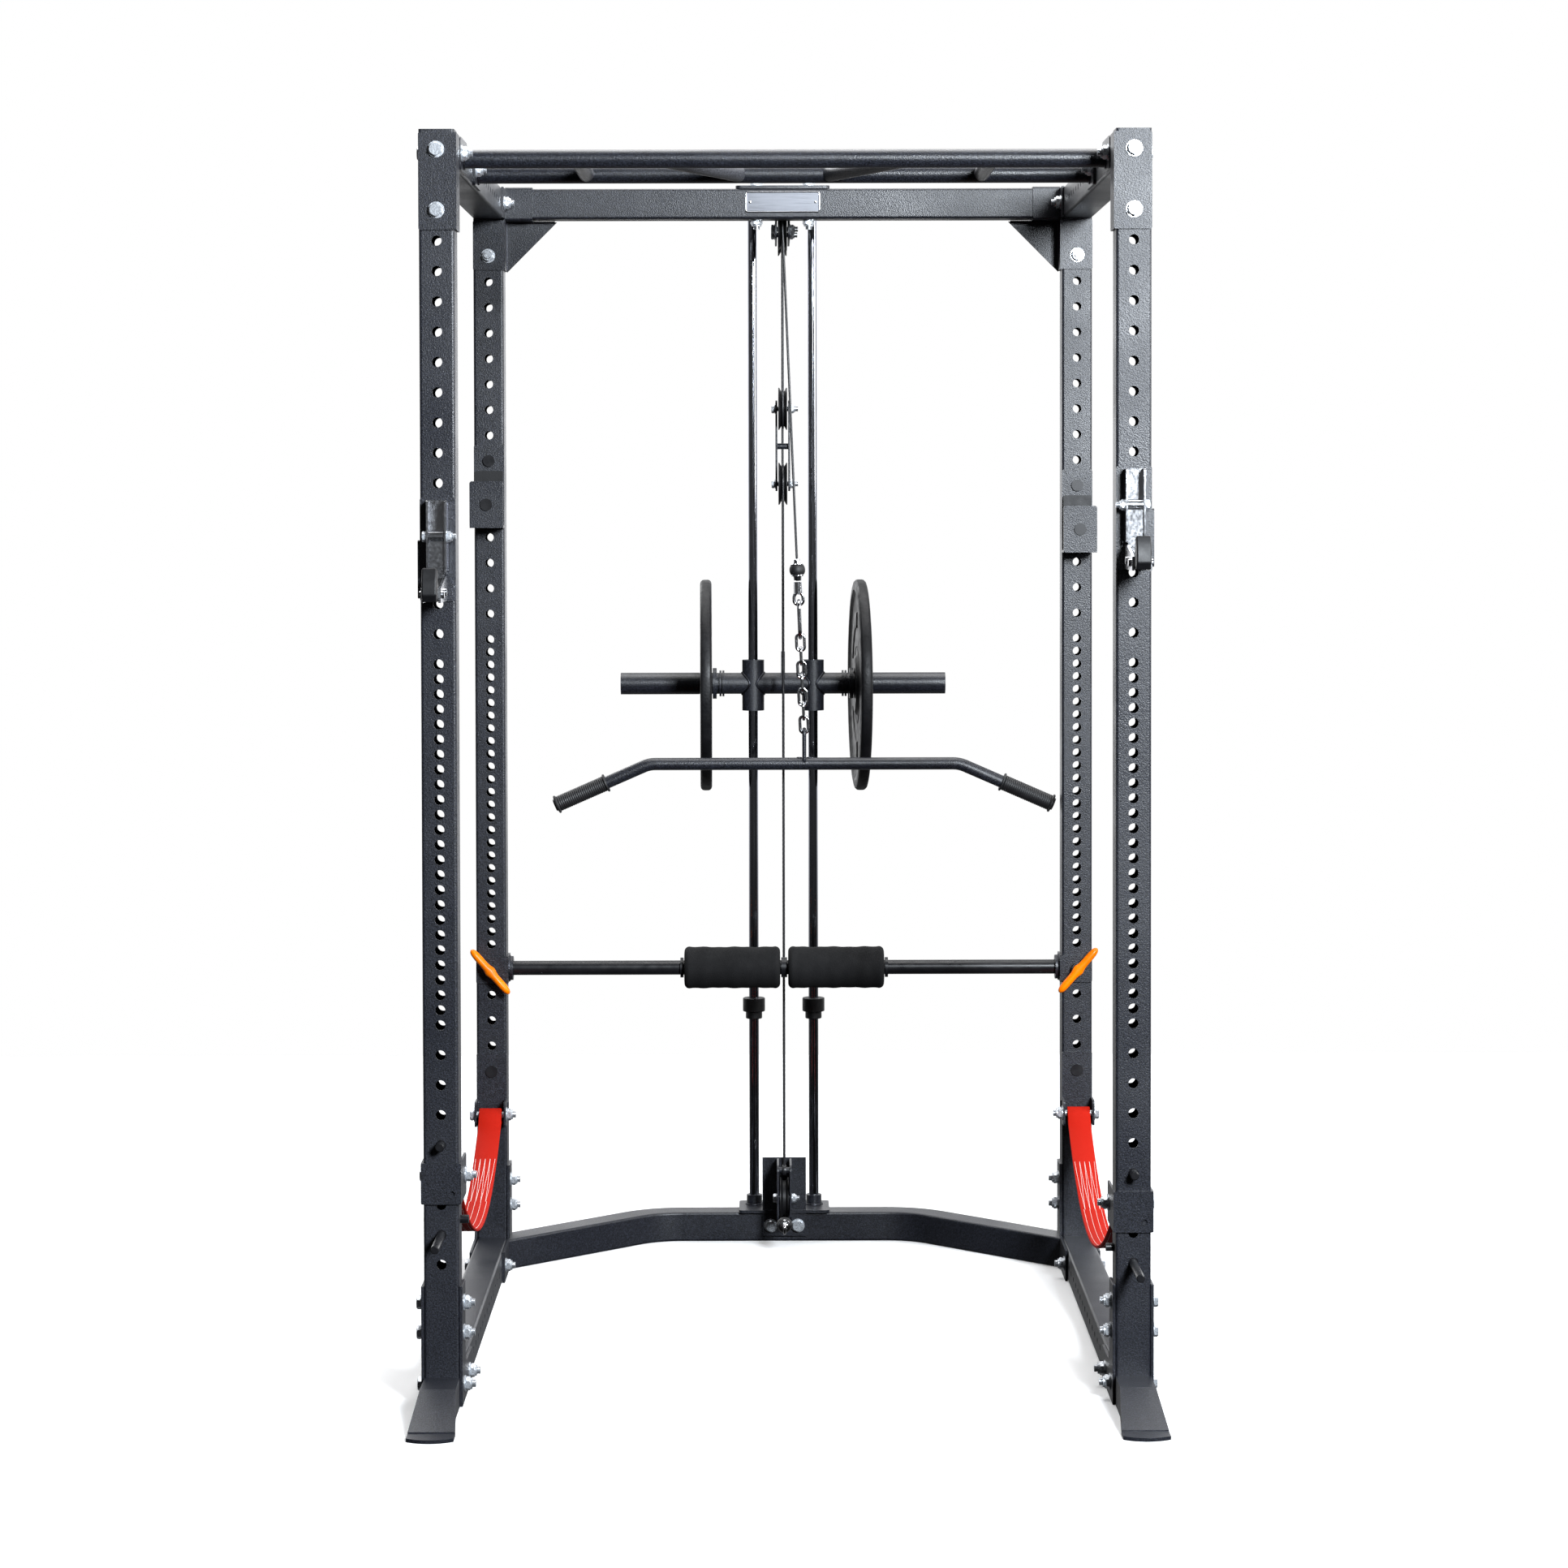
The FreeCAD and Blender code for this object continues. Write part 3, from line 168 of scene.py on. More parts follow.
# Studio: how bright the surround is towards the back of the cage (from, to) and by height, and each
# light's place, target, size, power and colour
SURROUND = {"From Min": -0.05, "From Max": 0.75, "To Min": 0.07, "To Max": 1.9}
SURROUND_BY_HEIGHT = [(0.43, 0.10), (0.475, 1.0), (0.56, 1.0), (0.60, 0.5)]
SURROUND_TINT = (0.97, 0.98, 1.0, 1)
CAGE_MIDDLE = (0, 0, 1.1)
LIGHTS = {
    "key": ((1.9, -5.0, 2.9), (0.4, -0.4, 1.5), (1.0, 1.3), 620, (0.88, 0.94, 1.0)),
    "side": ((3.2, -0.8, 2.4), CAGE_MIDDLE, (1.2, 1.8), 90, (0.97, 0.985, 1.0)),
    "top": ((0.2, 0.6, 4.4), CAGE_MIDDLE, (3.0, 3.0), 150, (1, 1, 1)),
    "rear": ((-2.2, 4.2, 4.0), CAGE_MIDDLE, (1.6, 1.6), 50, (0.97, 0.985, 1.0)),
}


# ---- meshes ----

class Shape:
    """Points and faces gathered from simple parts, made into one piece at the end."""

    def __init__(self):
        self.points = []
        self.faces = []

    def skin(self, rings, closed=False, capped=True):
        """Joins rings of equally many points, in order, into a tube."""
        base, sides, count = len(self.points), len(rings[0]), len(rings)
        for ring in rings:
            self.points.extend(ring)
        for i in range(count if closed else count - 1):
            here, there = base + i * sides, base + (i + 1) % count * sides
            for j in range(sides):
                k = (j + 1) % sides
                self.faces.append((here + j, here + k, there + k, there + j))
        if capped and not closed:
            self.faces.append(tuple(base + j for j in reversed(range(sides))))
            self.faces.append(tuple(base + (count - 1) * sides + j for j in range(sides)))

    def tube(self, points, radius, sides=12, closed=False):
        """A round tube along points; radius is a number, or a function of distance and angle."""
        rings, distance = [], 0.0
        size = radius if callable(radius) else lambda along, angle: radius
        for i, (point, side, up) in enumerate(frames(points, closed)):
            if i:
                distance += (point - points[i - 1]).length
            ring = []
            for j in range(sides):
                angle = 2 * math.pi * j / sides
                ring.append(point + (side * math.cos(angle) + up * math.sin(angle)) * size(distance, angle))
            rings.append(ring)
        self.skin(rings, closed)

    def lathe(self, base, axis, profile, sides=48, closed=False):
        """Turns a profile of (distance along the axis, radius) about an axis through base."""
        axis = axis.normalized()
        side = axis.orthogonal().normalized()
        up = axis.cross(side)
        rings = []
        for along, radius in profile:
            angles = [2 * math.pi * j / sides for j in range(sides)]
            rings.append([base + axis * along + (side * math.cos(a) + up * math.sin(a)) * radius
                          for a in angles])
        self.skin(rings, closed)

    def block(self, low, high):
        """A box between two corners."""
        lower = [Vector((x, y, low.z)) for x, y in
                 ((low.x, low.y), (high.x, low.y), (high.x, high.y), (low.x, high.y))]
        upper = [Vector((p.x, p.y, high.z)) for p in lower]
        self.skin([lower, upper])

    def piece(self, name, material, body, slot=None, crease=35.0):
        """The finished object, riding on a body, with edges sharper than the crease angle kept sharp."""
        mesh = bpy.data.meshes.new(name)
        mesh.from_pydata([tuple(p) for p in self.points], [], self.faces)
        work = bmesh.new()
        work.from_mesh(mesh)
        bmesh.ops.recalc_face_normals(work, faces=work.faces)
        for face in work.faces:
            face.smooth = True
        for edge in work.edges:
            edge.smooth = edge.calc_face_angle(0.0) < math.radians(crease)
        work.to_mesh(mesh)
        work.free()
        mesh.materials.append(material)
        made = bpy.data.objects.new(name, mesh)
        bpy.context.scene.collection.objects.link(made)
        if body:
            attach(made, body)
        return made


def frames(points, closed=False):
    """Each point of a line with two directions across it, carried along without twist."""
    count = len(points)
    tangents = []
    for i in range(count):
        before = points[i - 1] if i or closed else points[0]
        after = points[(i + 1) % count] if i < count - 1 or closed else points[-1]
        tangents.append((after - before).normalized())
    side = tangents[0].orthogonal().normalized()
    made = []
    for point, tangent in zip(points, tangents):
        side = (side - tangent * side.dot(tangent)).normalized()
        made.append((point, side, tangent.cross(side)))
    return made


def straight(start, end, step):
    """Evenly spaced points from start to end."""
    count = max(1, round((end - start).length / step))
    return [start.lerp(end, i / count) for i in range(count + 1)]


def wheel_arc(centre, start, end, step=0.003):
    """Points of a cable around a wheel in the YZ plane, between two angles in degrees."""
    count = max(2, round(math.radians(abs(end - start)) * WRAP_R / step))
    points = []
    for i in range(count + 1):
        angle = math.radians(start + (end - start) * i / count)
        points.append(rack(0, centre[0] + WRAP_R * math.cos(angle), centre[1] + WRAP_R * math.sin(angle)))
    return points


def circle(centre, axis, radius, count):
    side = axis.orthogonal().normalized()
    up = axis.normalized().cross(side)
    angles = [2 * math.pi * i / count for i in range(count)]
    return [centre + (side * math.cos(a) + up * math.sin(a)) * radius for a in angles]


def smooth_step(value):
    value = min(1.0, max(0.0, value))
    return value * value * (3 - 2 * value)


# ---- materials ----

class Graph:
    """A material's node graph, with its textures laid out in the piece's own coordinates."""

    def __init__(self, name, colour, rough, metallic=0.0, **extra):
        self.material = bpy.data.materials.new(name)
        self.material.use_nodes = True
        self.tree = self.material.node_tree
        self.shader = self.tree.nodes["Principled BSDF"]
        self.set(self.shader, "Base Color", (*colour, 1.0))
        self.set(self.shader, "Roughness", rough)
        self.set(self.shader, "Metallic", metallic)
        for key, value in extra.items():
            self.set(self.shader, key.replace("_", " "), value)
        self.place = self.node("ShaderNodeTexCoord").outputs["Object"]

    def set(self, node, socket, value):
        if isinstance(value, bpy.types.NodeSocket):
            self.tree.links.new(value, node.inputs[socket])
        else:
            node.inputs[socket].default_value = value

    def node(self, kind, settings=None, **sockets):
        made = self.tree.nodes.new(kind)
        for key, value in (settings or {}).items():
            setattr(made, key, value)
        for key, value in sockets.items():
            self.set(made, key.replace("_", " "), value)
        return made

    def noise(self, scale, detail=2.0, stretch=None, rough=0.5):
        place = self.place
        if stretch:
            place = self.node("ShaderNodeMapping", Vector=place, Scale=stretch).outputs["Vector"]
        made = self.node("ShaderNodeTexNoise", Vector=place, Scale=scale, Detail=detail, Roughness=rough)
        return made.outputs["Fac"]

    def ramp(self, factor, stops):
        """Turns a factor into a colour or a value, by stops of (position, colour or value)."""
        made = self.node("ShaderNodeValToRGB", Fac=factor)
        elements = made.color_ramp.elements
        while len(elements) < len(stops):
            elements.new(0.5)
        for element, (position, value) in zip(elements, stops):
            element.position = position
            element.color = (*value, 1.0) if isinstance(value, tuple) else (value, value, value, 1.0)
        return made.outputs["Color"]

    def colour(self, factor, stops):
        self.set(self.shader, "Base Color", self.ramp(factor, stops))

    def gloss(self, factor, stops):
        self.set(self.shader, "Roughness", self.ramp(factor, stops))

    def bump(self, height, strength, distance, under=None):
        settings = {"Height": height, "Strength": strength, "Distance": distance}
        if under:
            settings["Normal"] = under
        made = self.node("ShaderNodeBump", **settings)
        self.set(self.shader, "Normal", made.outputs["Normal"])
        return made.outputs["Normal"]


def shade(colour, factor):
    return tuple(channel * factor for channel in colour)


def powder(name, colour):
    """Textured powder coat: a fine speckled orange-peel grain and a cloudy gloss."""
    graph = Graph(name, colour, 0.40, Specular_IOR_Level=0.5)
    speck = graph.noise(420.0, 3.0, rough=0.7)
    graph.colour(speck, [(0.36, shade(colour, 0.25)), (0.50, colour), (0.66, shade(colour, 2.6))])
    graph.gloss(graph.noise(5.0, 4.0), [(0.35, 0.32), (0.65, 0.44)])
    peel = graph.bump(graph.noise(480.0, 2.0), 0.60, 0.0008)
    graph.bump(graph.noise(9.0, 2.0), 0.05, 0.01, peel)
    return graph.material


def metal(name, colour, rough, stretch=None, spread=0.10, grain=300.0, depth=0.12, metallic=1.0):
    """Plated or polished metal with a faint grain in its gloss."""
    graph = Graph(name, colour, rough, metallic)
    graph.colour(graph.noise(14.0, 3.0), [(0.3, shade(colour, 0.82)), (0.7, colour)])
    glossy, dull = max(0.02, rough - spread), rough + spread
    graph.gloss(graph.noise(grain, 3.0, stretch), [(0.25, glossy), (0.75, dull)])
    graph.bump(graph.noise(grain, 2.0, stretch), depth, 0.0004)
    return graph.material


def moulded(name, colour, rough, grain=260.0, depth=0.15, **extra):
    """Moulded plastic or rubber: a matt skin with a fine grain and slightly uneven colour."""
    graph = Graph(name, colour, rough, **extra)
    graph.colour(graph.noise(18.0, 4.0), [(0.3, shade(colour, 0.75)), (0.7, shade(colour, 1.15))])
    graph.gloss(graph.noise(40.0, 4.0), [(0.3, rough - 0.08), (0.7, rough + 0.08)])
    graph.bump(graph.noise(grain, 3.0), depth, 0.0006)
    return graph.material


def webbing(name, colour):
    """Woven polyester: ribs across the strap over fine diagonal yarns, from the strap's own UV map."""
    graph = Graph(name, colour, 0.75, Specular_IOR_Level=0.15)
    place = graph.node("ShaderNodeUVMap", {"uv_map": "weave"}).outputs["UV"]
    ribs = graph.node("ShaderNodeTexWave", {"bands_direction": "Y"}, Vector=place, Scale=150.0,
                      Distortion=0.6, Detail=1.0).outputs["Fac"]
    turned = graph.node("ShaderNodeMapping", Vector=place, Rotation=(0, 0, math.radians(52)))
    yarns = graph.node("ShaderNodeTexWave", {"bands_direction": "X"}, Vector=turned.outputs["Vector"],
                       Scale=260.0, Distortion=1.0, Detail=2.0).outputs["Fac"]
    cloth = graph.node("ShaderNodeMath", {"operation": "MULTIPLY"})
    graph.set(cloth, 0, ribs)
    graph.set(cloth, 1, yarns)
    graph.colour(cloth.outputs[0], [(0.0, shade(colour, 0.72)), (0.5, colour), (1.0, shade(colour, 1.18))])
    first = graph.bump(ribs, 0.55, 0.0006)
    graph.bump(yarns, 0.30, 0.0003, first)
    return graph.material


def hammered(name, colour):
    """Cast iron under enamel: shallow dimples and a soft gloss."""
    graph = Graph(name, colour, 0.46, Specular_IOR_Level=0.22)
    cells = graph.node("ShaderNodeTexVoronoi", {"feature": "SMOOTH_F1"}, Vector=graph.place, Scale=190.0)
    graph.colour(graph.noise(30.0, 5.0), [(0.3, shade(colour, 0.7)), (0.72, shade(colour, 1.3))])
    graph.gloss(graph.noise(60.0, 3.0), [(0.3, 0.38), (0.7, 0.56)])
    dimples = graph.bump(cells.outputs["Distance"], 0.35, 0.0010)
    graph.bump(graph.noise(40.0, 3.0), 0.12, 0.0015, dimples)
    return graph.material


STEEL = (0.0110, 0.0120, 0.0165)
MATERIALS = {
    "powder_coat": powder("cage_powder_coat", STEEL),
    "grey_coat": powder("cage_grey_coat", (0.050, 0.051, 0.058)),
    "black_steel": moulded("cage_black_steel", (0.008, 0.008, 0.0095), 0.34, 90.0, 0.03,
                           Specular_IOR_Level=0.35),
    "zinc": metal("cage_zinc", (0.70, 0.71, 0.74), 0.20, spread=0.06, grain=210.0, depth=0.02),
    "chrome_trim": metal("cage_chrome_trim", (0.80, 0.81, 0.84), 0.12, spread=0.05),
    "dark_chrome": metal("cage_dark_chrome", (0.42, 0.43, 0.47), 0.09, (1, 1, 0.02), 0.04, 500.0, 0.04),
    "black_plastic": moulded("cage_black_plastic", (0.006, 0.006, 0.007), 0.48, Specular_IOR_Level=0.35),
    "red_webbing": webbing("cage_red_webbing", (0.47, 0.008, 0.0)),
    "orange_plastic": moulded("cage_orange_plastic", (1.0, 0.20, 0.0), 0.34, 120.0, 0.05,
                              Specular_IOR_Level=0.25),
    "foam": moulded("cage_foam", (0.007, 0.007, 0.0075), 0.88, 420.0, 0.8, Specular_IOR_Level=0.2),
    "rubber": moulded("cage_rubber", (0.009, 0.009, 0.010), 0.52, 300.0, 0.3),
    "iron_plate": hammered("cage_iron", (0.0065, 0.0065, 0.0075)),
    "cable": moulded("cage_cable", (0.014, 0.014, 0.016), 0.36, 500.0, 0.1),
}
THREAD = moulded("cage_stitching", (0.86, 0.84, 0.80), 0.7, 900.0, 0.5)
BADGE_FIELD = metal("cage_badge_field", (0.16, 0.165, 0.18), 0.35, (0.02, 1, 1), 0.08, 700.0, 0.1)
WELD = metal("cage_weld", (0.06, 0.062, 0.072), 0.40, depth=0.2)
BOLT_ZINC = metal("cage_bolt_zinc", (0.66, 0.69, 0.73), 0.30, grain=320.0, depth=0.9, metallic=0.65)
# Nodes whose finish is rougher or darker than the rest of their slot. The leg bar is powder coated like the
# frame; its darker black steel finish is painted shade, standing in for the shade it sits in.
FINISH_AND_PAINTED_SHADE = {"hex_bolts": BOLT_ZINC, "lock_nuts": BOLT_ZINC, "leg_bar": MATERIALS["black_steel"],
              "rack_pins": MATERIALS["black_steel"]}


# ---- CAD nodes ----

def soften(node, width):
    """Rounds a node's sharp edges with modifiers, which leave its own mesh as it is."""
    cad = NODES[node]
    if "custom_normal" in cad.data.attributes:
        cad.data.attributes.remove(cad.data.attributes["custom_normal"])
    cad.data.shade_smooth()
    weld = cad.modifiers.new("weld", "WELD")
    weld.merge_threshold = 0.00002
    bevel = cad.modifiers.new("bevel", "BEVEL")
    bevel.width = width
    bevel.segments = 2
    bevel.limit_method = "ANGLE"
    bevel.angle_limit = math.radians(FOOT_CREASE if node == "front_feet" else CREASE)
    bevel.harden_normals = True


def dress_nodes():
    """Gives every CAD node the finish of its material slot, or the one listed for it; the leg bar's darker
    listed finish is painted shade.
    """
    for node, cad in NODES.items():
        for holder in cad.material_slots:
            slot = holder.material.name.split(".")[0]
            holder.material = FINISH_AND_PAINTED_SHADE.get(node, MATERIALS[slot])
    for width, names in EDGES.items():
        for node in names:
            soften(node, width)


# ---- safety straps ----

def strap_line(side):
    """Points and normals of the hanging strap's middle line, from its front bolt to its rear one."""
    y0, z0 = STRAP_FRONT[side]
    y1, z1 = STRAP_REAR
    span, rise = y1 - y0, z1 - z0
    sag = math.sqrt(3 * span * (STRAP_LENGTH - span - rise ** 2 / (2 * span)) / 8)
    steps = 160
    line = []
    for i in range(steps + 1):
        t = i / steps
        point = Vector((0, y0 + span * t, z0 + rise * t - 4 * sag * t * (1 - t)))
        slope = Vector((0, span, rise - 4 * sag * (1 - 2 * t))).normalized()
        line.append((point, Vector((0, -slope.z, slope.y)), slope))
    return line


def strap_gap(line, index):
    """How far each of the strap's two layers stands from its middle line: wide only round a bolt."""
    near = min((line[index][0] - line[end][0]).length for end in (0, -1))
    return WEB_THICK * 0.53 + (EYE_R - WEB_THICK * 0.53) * (1 - smooth_step(near / EYE_TAPER))


def strap_loop(line):
    """One closed line round both bolts: over the top to the rear, and back underneath."""
    count = len(line)
    over = [line[i][0] + line[i][1] * strap_gap(line, i) for i in range(count)]
    under = [line[i][0] - line[i][1] * strap_gap(line, i) for i in reversed(range(count))]

    def turn(end, outward):
        point, normal, slope = line[end]
        angles = [math.radians(a) for a in range(15, 180, 15)]
        return [point + (normal * math.cos(a) * outward + slope * math.sin(a) * outward) * EYE_R
                for a in angles]

    return over + turn(-1, 1) + under + turn(0, -1)


def strap(side):
    """A webbing loop with rounded selvedges, its stitching, and the bushings it turns on."""
    x = SIDES[side] * SIDE_X
    line = strap_line(side)
    loop = strap_loop(line)
    half, thick = STRAP_WIDTH / 2, WEB_THICK / 2
    outline = [(-half + 0.0012, -thick), (half - 0.0012, -thick), (half - 0.0003, -thick * 0.55),
               (half, 0), (half - 0.0003, thick * 0.55), (half - 0.0012, thick), (-half + 0.0012, thick),
               (-half + 0.0003, thick * 0.55), (-half, 0), (-half + 0.0003, -thick * 0.55)]
    rings, travelled = [], [0.0]
    count = len(loop)
    for i, point in enumerate(loop):
        tangent = (loop[(i + 1) % count] - loop[i - 1]).normalized()
        normal = Vector((0, -tangent.z, tangent.y))
        rings.append([rack(x + across, *(point + normal * depth).yz) for across, depth in outline])
        travelled.append(travelled[-1] + (loop[(i + 1) % count] - point).length)
    shape = Shape()
    shape.skin(rings, closed=True)
    web = shape.piece(f"{side}_strap_webbing", MATERIALS["red_webbing"], "root", "red_webbing")
    weave = web.data.uv_layers.new(name="weave")
    sides = len(outline)
    for corner in web.data.loops:
        ring, place = divmod(corner.vertex_index, sides)
        weave.data[corner.index].uv = (outline[place][0], travelled[ring])
    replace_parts(web, f"{side}_safety_strap")
    stitching = strap_stitching(side, x, line)
    bushings = Shape()
    for y, z in (STRAP_FRONT[side], STRAP_REAR):
        bore, outer = 0.0063, EYE_R - WEB_THICK / 2 - 0.0002
        start = rack(x - half, y, z)
        bushings.lathe(start, Vector((1, 0, 0)),
                       [(0, bore), (0, outer), (STRAP_WIDTH, outer), (STRAP_WIDTH, bore)], 32, closed=True)
    bushings.piece(f"{side}_strap_bushings", MATERIALS["zinc"], "root", "zinc")


def strap_stitching(side, x, line):
    """White thread: four long seams, and a zig-zag where the rear loop is sewn down."""
    total = len(line) - 1
    shape = Shape()

    def sewn(share, across, face):
        """A point on the strap's upper (1) or lower (-1) face, part of the way along it."""
        place = min(total - 1, int(share * total))
        part = share * total - place
        point = line[place][0].lerp(line[place + 1][0], part)
        normal = line[place][1].lerp(line[place + 1][1], part).normalized()
        lift = strap_gap(line, place) + WEB_THICK / 2 + THREAD_R * 0.3
        return rack(x + across, *(point + normal * face * lift).yz)

    legs = 8
    for face in (1, -1):
        for across in SEAMS:
            shape.tube([sewn(SEAM_START + (ZIGZAG[0] - SEAM_START) * i / 90, across, face)
                        for i in range(91)], THREAD_R, 6)
        for leg in range(legs):
            start, end = (ZIGZAG_HALF * (2 * k / legs - 1) for k in (leg, leg + 1))
            low, high = ZIGZAG if leg % 2 else reversed(ZIGZAG)
            shape.tube([sewn(low + (high - low) * i / 24, start + (end - start) * i / 24, face)
                        for i in range(25)], THREAD_R, 6)
    return shape.piece(f"{side}_strap_stitching", THREAD, "root")


# ---- cable ----

def rope(distance, angle):
    """The radius of a coated cable that shows its six strands."""
    return CABLE_R + 0.00016 * math.cos(6 * (angle - distance * 2 * math.pi / 0.055))


def cables():
    """The four stretches of cable; the two that change length are baked in place and ride on no body."""
    step = 0.003
    front, rear = BLOCK_Y - WRAP_R, BLOCK_Y + WRAP_R
    high = (wheel_arc(FRONT_PULLEY, 180, 0)
            + straight(rack(0, front, FRONT_PULLEY[1]), rack(0, front, BLOCK_UPPER_Z), step)[1:-1]
            + wheel_arc((BLOCK_Y, BLOCK_UPPER_Z), 180, 360)
            + straight(rack(0, rear, BLOCK_UPPER_Z), rack(0, rear, REAR_PULLEY[1]), step)[1:-1]
            + wheel_arc(REAR_PULLEY, 180, 0))
    floor = LOW_PULLEY_Z - WRAP_R
    low = (straight(rack(0, front, ANCHOR_Z + 0.010), rack(0, front, BLOCK_LOWER_Z), step)[:-1]
           + wheel_arc((BLOCK_Y, BLOCK_LOWER_Z), 180, 0)
           + straight(rack(0, rear, BLOCK_LOWER_Z), rack(0, rear, LOW_PULLEY_Z), step)[1:-1]
           + wheel_arc((BLOCK_Y, LOW_PULLEY_Z), 0, -90)
           + straight(rack(0, BLOCK_Y, floor), rack(0, 1.226, floor), step)[1:])
    for name, points in (("high_cable", high), ("low_cable", low)):
        shape = Shape()
        shape.tube(points, rope, 18)
        if name == "low_cable":
            eye = [(-0.004, 0.0065), (-0.004, 0.0100), (-0.003, 0.0105), (0.003, 0.0105), (0.004, 0.0100),
                   (0.004, 0.0065)]
            shape.lathe(rack(0, front, ANCHOR_Z), Vector((1, 0, 0)), eye, 32, closed=True)
        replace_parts(shape.piece(f"{name}_rope", MATERIALS["cable"], "root", "cable"), name)
    run = Shape()
    end = LINE_TOP + DOWN * (BALL_AT - BALL_R - COLLAR)
    run.tube(straight(LINE_TOP, end, step), rope, 18)
    made = run.piece("front_rope", MATERIALS["cable"], None, "cable")
    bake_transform(made)
    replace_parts(made, "front_cable_run")
    run = Shape()
    top, end = rack(0, TOWER_Y, REAR_PULLEY[1]), rack(0, TOWER_Y, CARRIAGE_Z + 0.066)
    run.tube(straight(top, end, step), rope, 18)
    made = run.piece("carriage_rope", MATERIALS["cable"], None, "cable")
    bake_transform(made)
    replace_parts(made, "carriage_cable_run")


def stop(name, node, centre, along, body):
    """A barrel-shaped rubber ball on a cable; returns the two turned collars it sits between."""
    steps = 24
    reach = math.sqrt(BALL_R ** 2 - BALL_FLAT ** 2)
    start = math.atan2(BALL_FLAT, -reach)
    end = math.atan2(BALL_FLAT, reach)
    ball = Shape()
    profile = [(BALL_R * math.cos(start + (end - start) * i / steps),
                BALL_R * math.sin(start + (end - start) * i / steps)) for i in range(steps + 1)]
    ball.lathe(centre, along, profile, 48)
    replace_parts(ball.piece(f"{name}_ball", MATERIALS["rubber"], body, "rubber"), node)
    collars = Shape()
    outer = BALL_R + COLLAR
    for way in (-1, 1):
        profile = [(reach - 0.001, 0.0025), (reach - 0.001, 0.0125), (reach, 0.0132),
                   (reach + 0.0015, 0.0132), (reach + 0.0025, 0.0122), (reach + 0.003, 0.0085),
                   (outer - 0.001, 0.0075), (outer, 0.0062), (outer, 0.0025)]
        collars.lathe(centre, along * way, profile, 40, closed=True)
    return collars


def cable_stops():
    collars = stop("lat_stop", "cable_stop", LINE_TOP + DOWN * BALL_AT, DOWN, "lat_bar_hanger")
    collars.piece("lat_stop_collars", MATERIALS["chrome_trim"], "lat_bar_hanger", "chrome_trim")
    z = LOW_PULLEY_Z - WRAP_R
    collars = stop("low_stop", "low_cable_stop", rack(0, LOW_STOP_Y, z), Vector((0, -1, 0)), "root")
    eye = circle(rack(0, LOW_STOP_Y - 0.035, z), Vector((1, 0, 0)), 0.010, 40)
    collars.tube(eye, 0.003, 14, closed=True)
    collars.piece("low_stop_collars", MATERIALS["chrome_trim"], "root", "chrome_trim")


# ---- leg hold-down ----

def roller(side):
    """A foam roller with soft shoulders and faint dents, on a moulded core at each end."""
    sign = SIDES[side]
    inner, outer = ROLLER_SPAN
    length, bore, soft = outer - inner, 0.0143, 0.010
    profile = [(0, 0.022), (0, ROLLER_R - soft)]
    profile += [(soft - soft * math.cos(a), ROLLER_R - soft + soft * math.sin(a))
                for a in (math.radians(15 * k) for k in range(1, 7))]
    steps = 30
    for i in range(1, steps):
        along = soft + (length - 2 * soft) * i / steps
        dent = 0.0005 * math.sin(along * 90) + 0.0004 * math.sin(along * 210 + 1.0)
        profile.append((along, ROLLER_R - 0.0009 + dent))
    profile += [(length - soft + soft * math.sin(a), ROLLER_R - soft + soft * math.cos(a))
                for a in (math.radians(15 * k) for k in range(0, 6))]
    profile += [(length, ROLLER_R - soft), (length, 0.022)]
    foam = Shape()
    base = rack(sign * inner, *LEG_BAR)
    foam.lathe(base, Vector((sign, 0, 0)), profile, 72, closed=True)
    made = foam.piece(f"{side}_foam_roller", MATERIALS["foam"], f"{side}_roller", "foam", 60)
    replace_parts(made, f"{side}_leg_roller")
    core = Shape()
    for start in (0.0, length - 0.004):
        ring = [(start, bore + 0.0004), (start, 0.0212), (start + 0.001, 0.0218), (start + 0.003, 0.0218),
                (start + 0.004, 0.0212), (start + 0.004, bore + 0.0004)]
        core.lathe(base, Vector((sign, 0, 0)), ring, 48, closed=True)
    core.piece(f"{side}_roller_core", MATERIALS["black_plastic"], f"{side}_roller", "black_plastic")


def handle_width(along):
    """Half the handle's width at a distance from its middle: round ends and a small hub."""
    end = max(0.0, 1 - (along / HANDLE_HALF) ** 8)
    return HANDLE_R * end ** 0.5 + HUB_RISE * math.exp(-(along / HUB_REACH) ** 2)


def lock_handle(side):
    """A glossy moulded handle across the end of the spring pin that locks the leg bar."""
    turn = Matrix.Rotation(HANDLE_TURN * SIDES[side], 3, "Y")
    centre = rack(SIDES[side] * SIDE_X, HANDLE_Y, LEG_BAR[1])
    rings, steps, around = [], 60, 28
    for i in range(steps + 1):
        along = -HANDLE_HALF * math.cos(math.pi * i / steps)
        width = max(0.0004, handle_width(along))
        ring = []
        for j in range(around):
            angle = 2 * math.pi * j / around
            depth = min(width, HANDLE_R) * HANDLE_DEPTH * math.sin(angle)
            ring.append(centre + turn @ Vector((along, depth, width * math.cos(angle))))
        rings.append(ring)
    grip = Shape()
    grip.skin(rings)
    body = f"{side}_handle"
    made = grip.piece(f"{side}_handle_grip", MATERIALS["orange_plastic"], body, "orange_plastic", 50)
    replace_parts(made, f"{side}_lock_handle")
    pin = Shape()
    profile = [(0.0050, 0.0075), (0.0050, 0.0100), (0.0058, 0.0105), (0.0106, 0.0105), (0.0114, 0.0098),
               (0.0114, 0.0078), (0.0390, 0.0078), (0.0410, 0.0060)]
    pin.lathe(centre, Vector((0, 1, 0)), profile, 40)
    pin.piece(f"{side}_lock_pin", MATERIALS["black_steel"], body, "black_steel")


# ---- weight plates ----

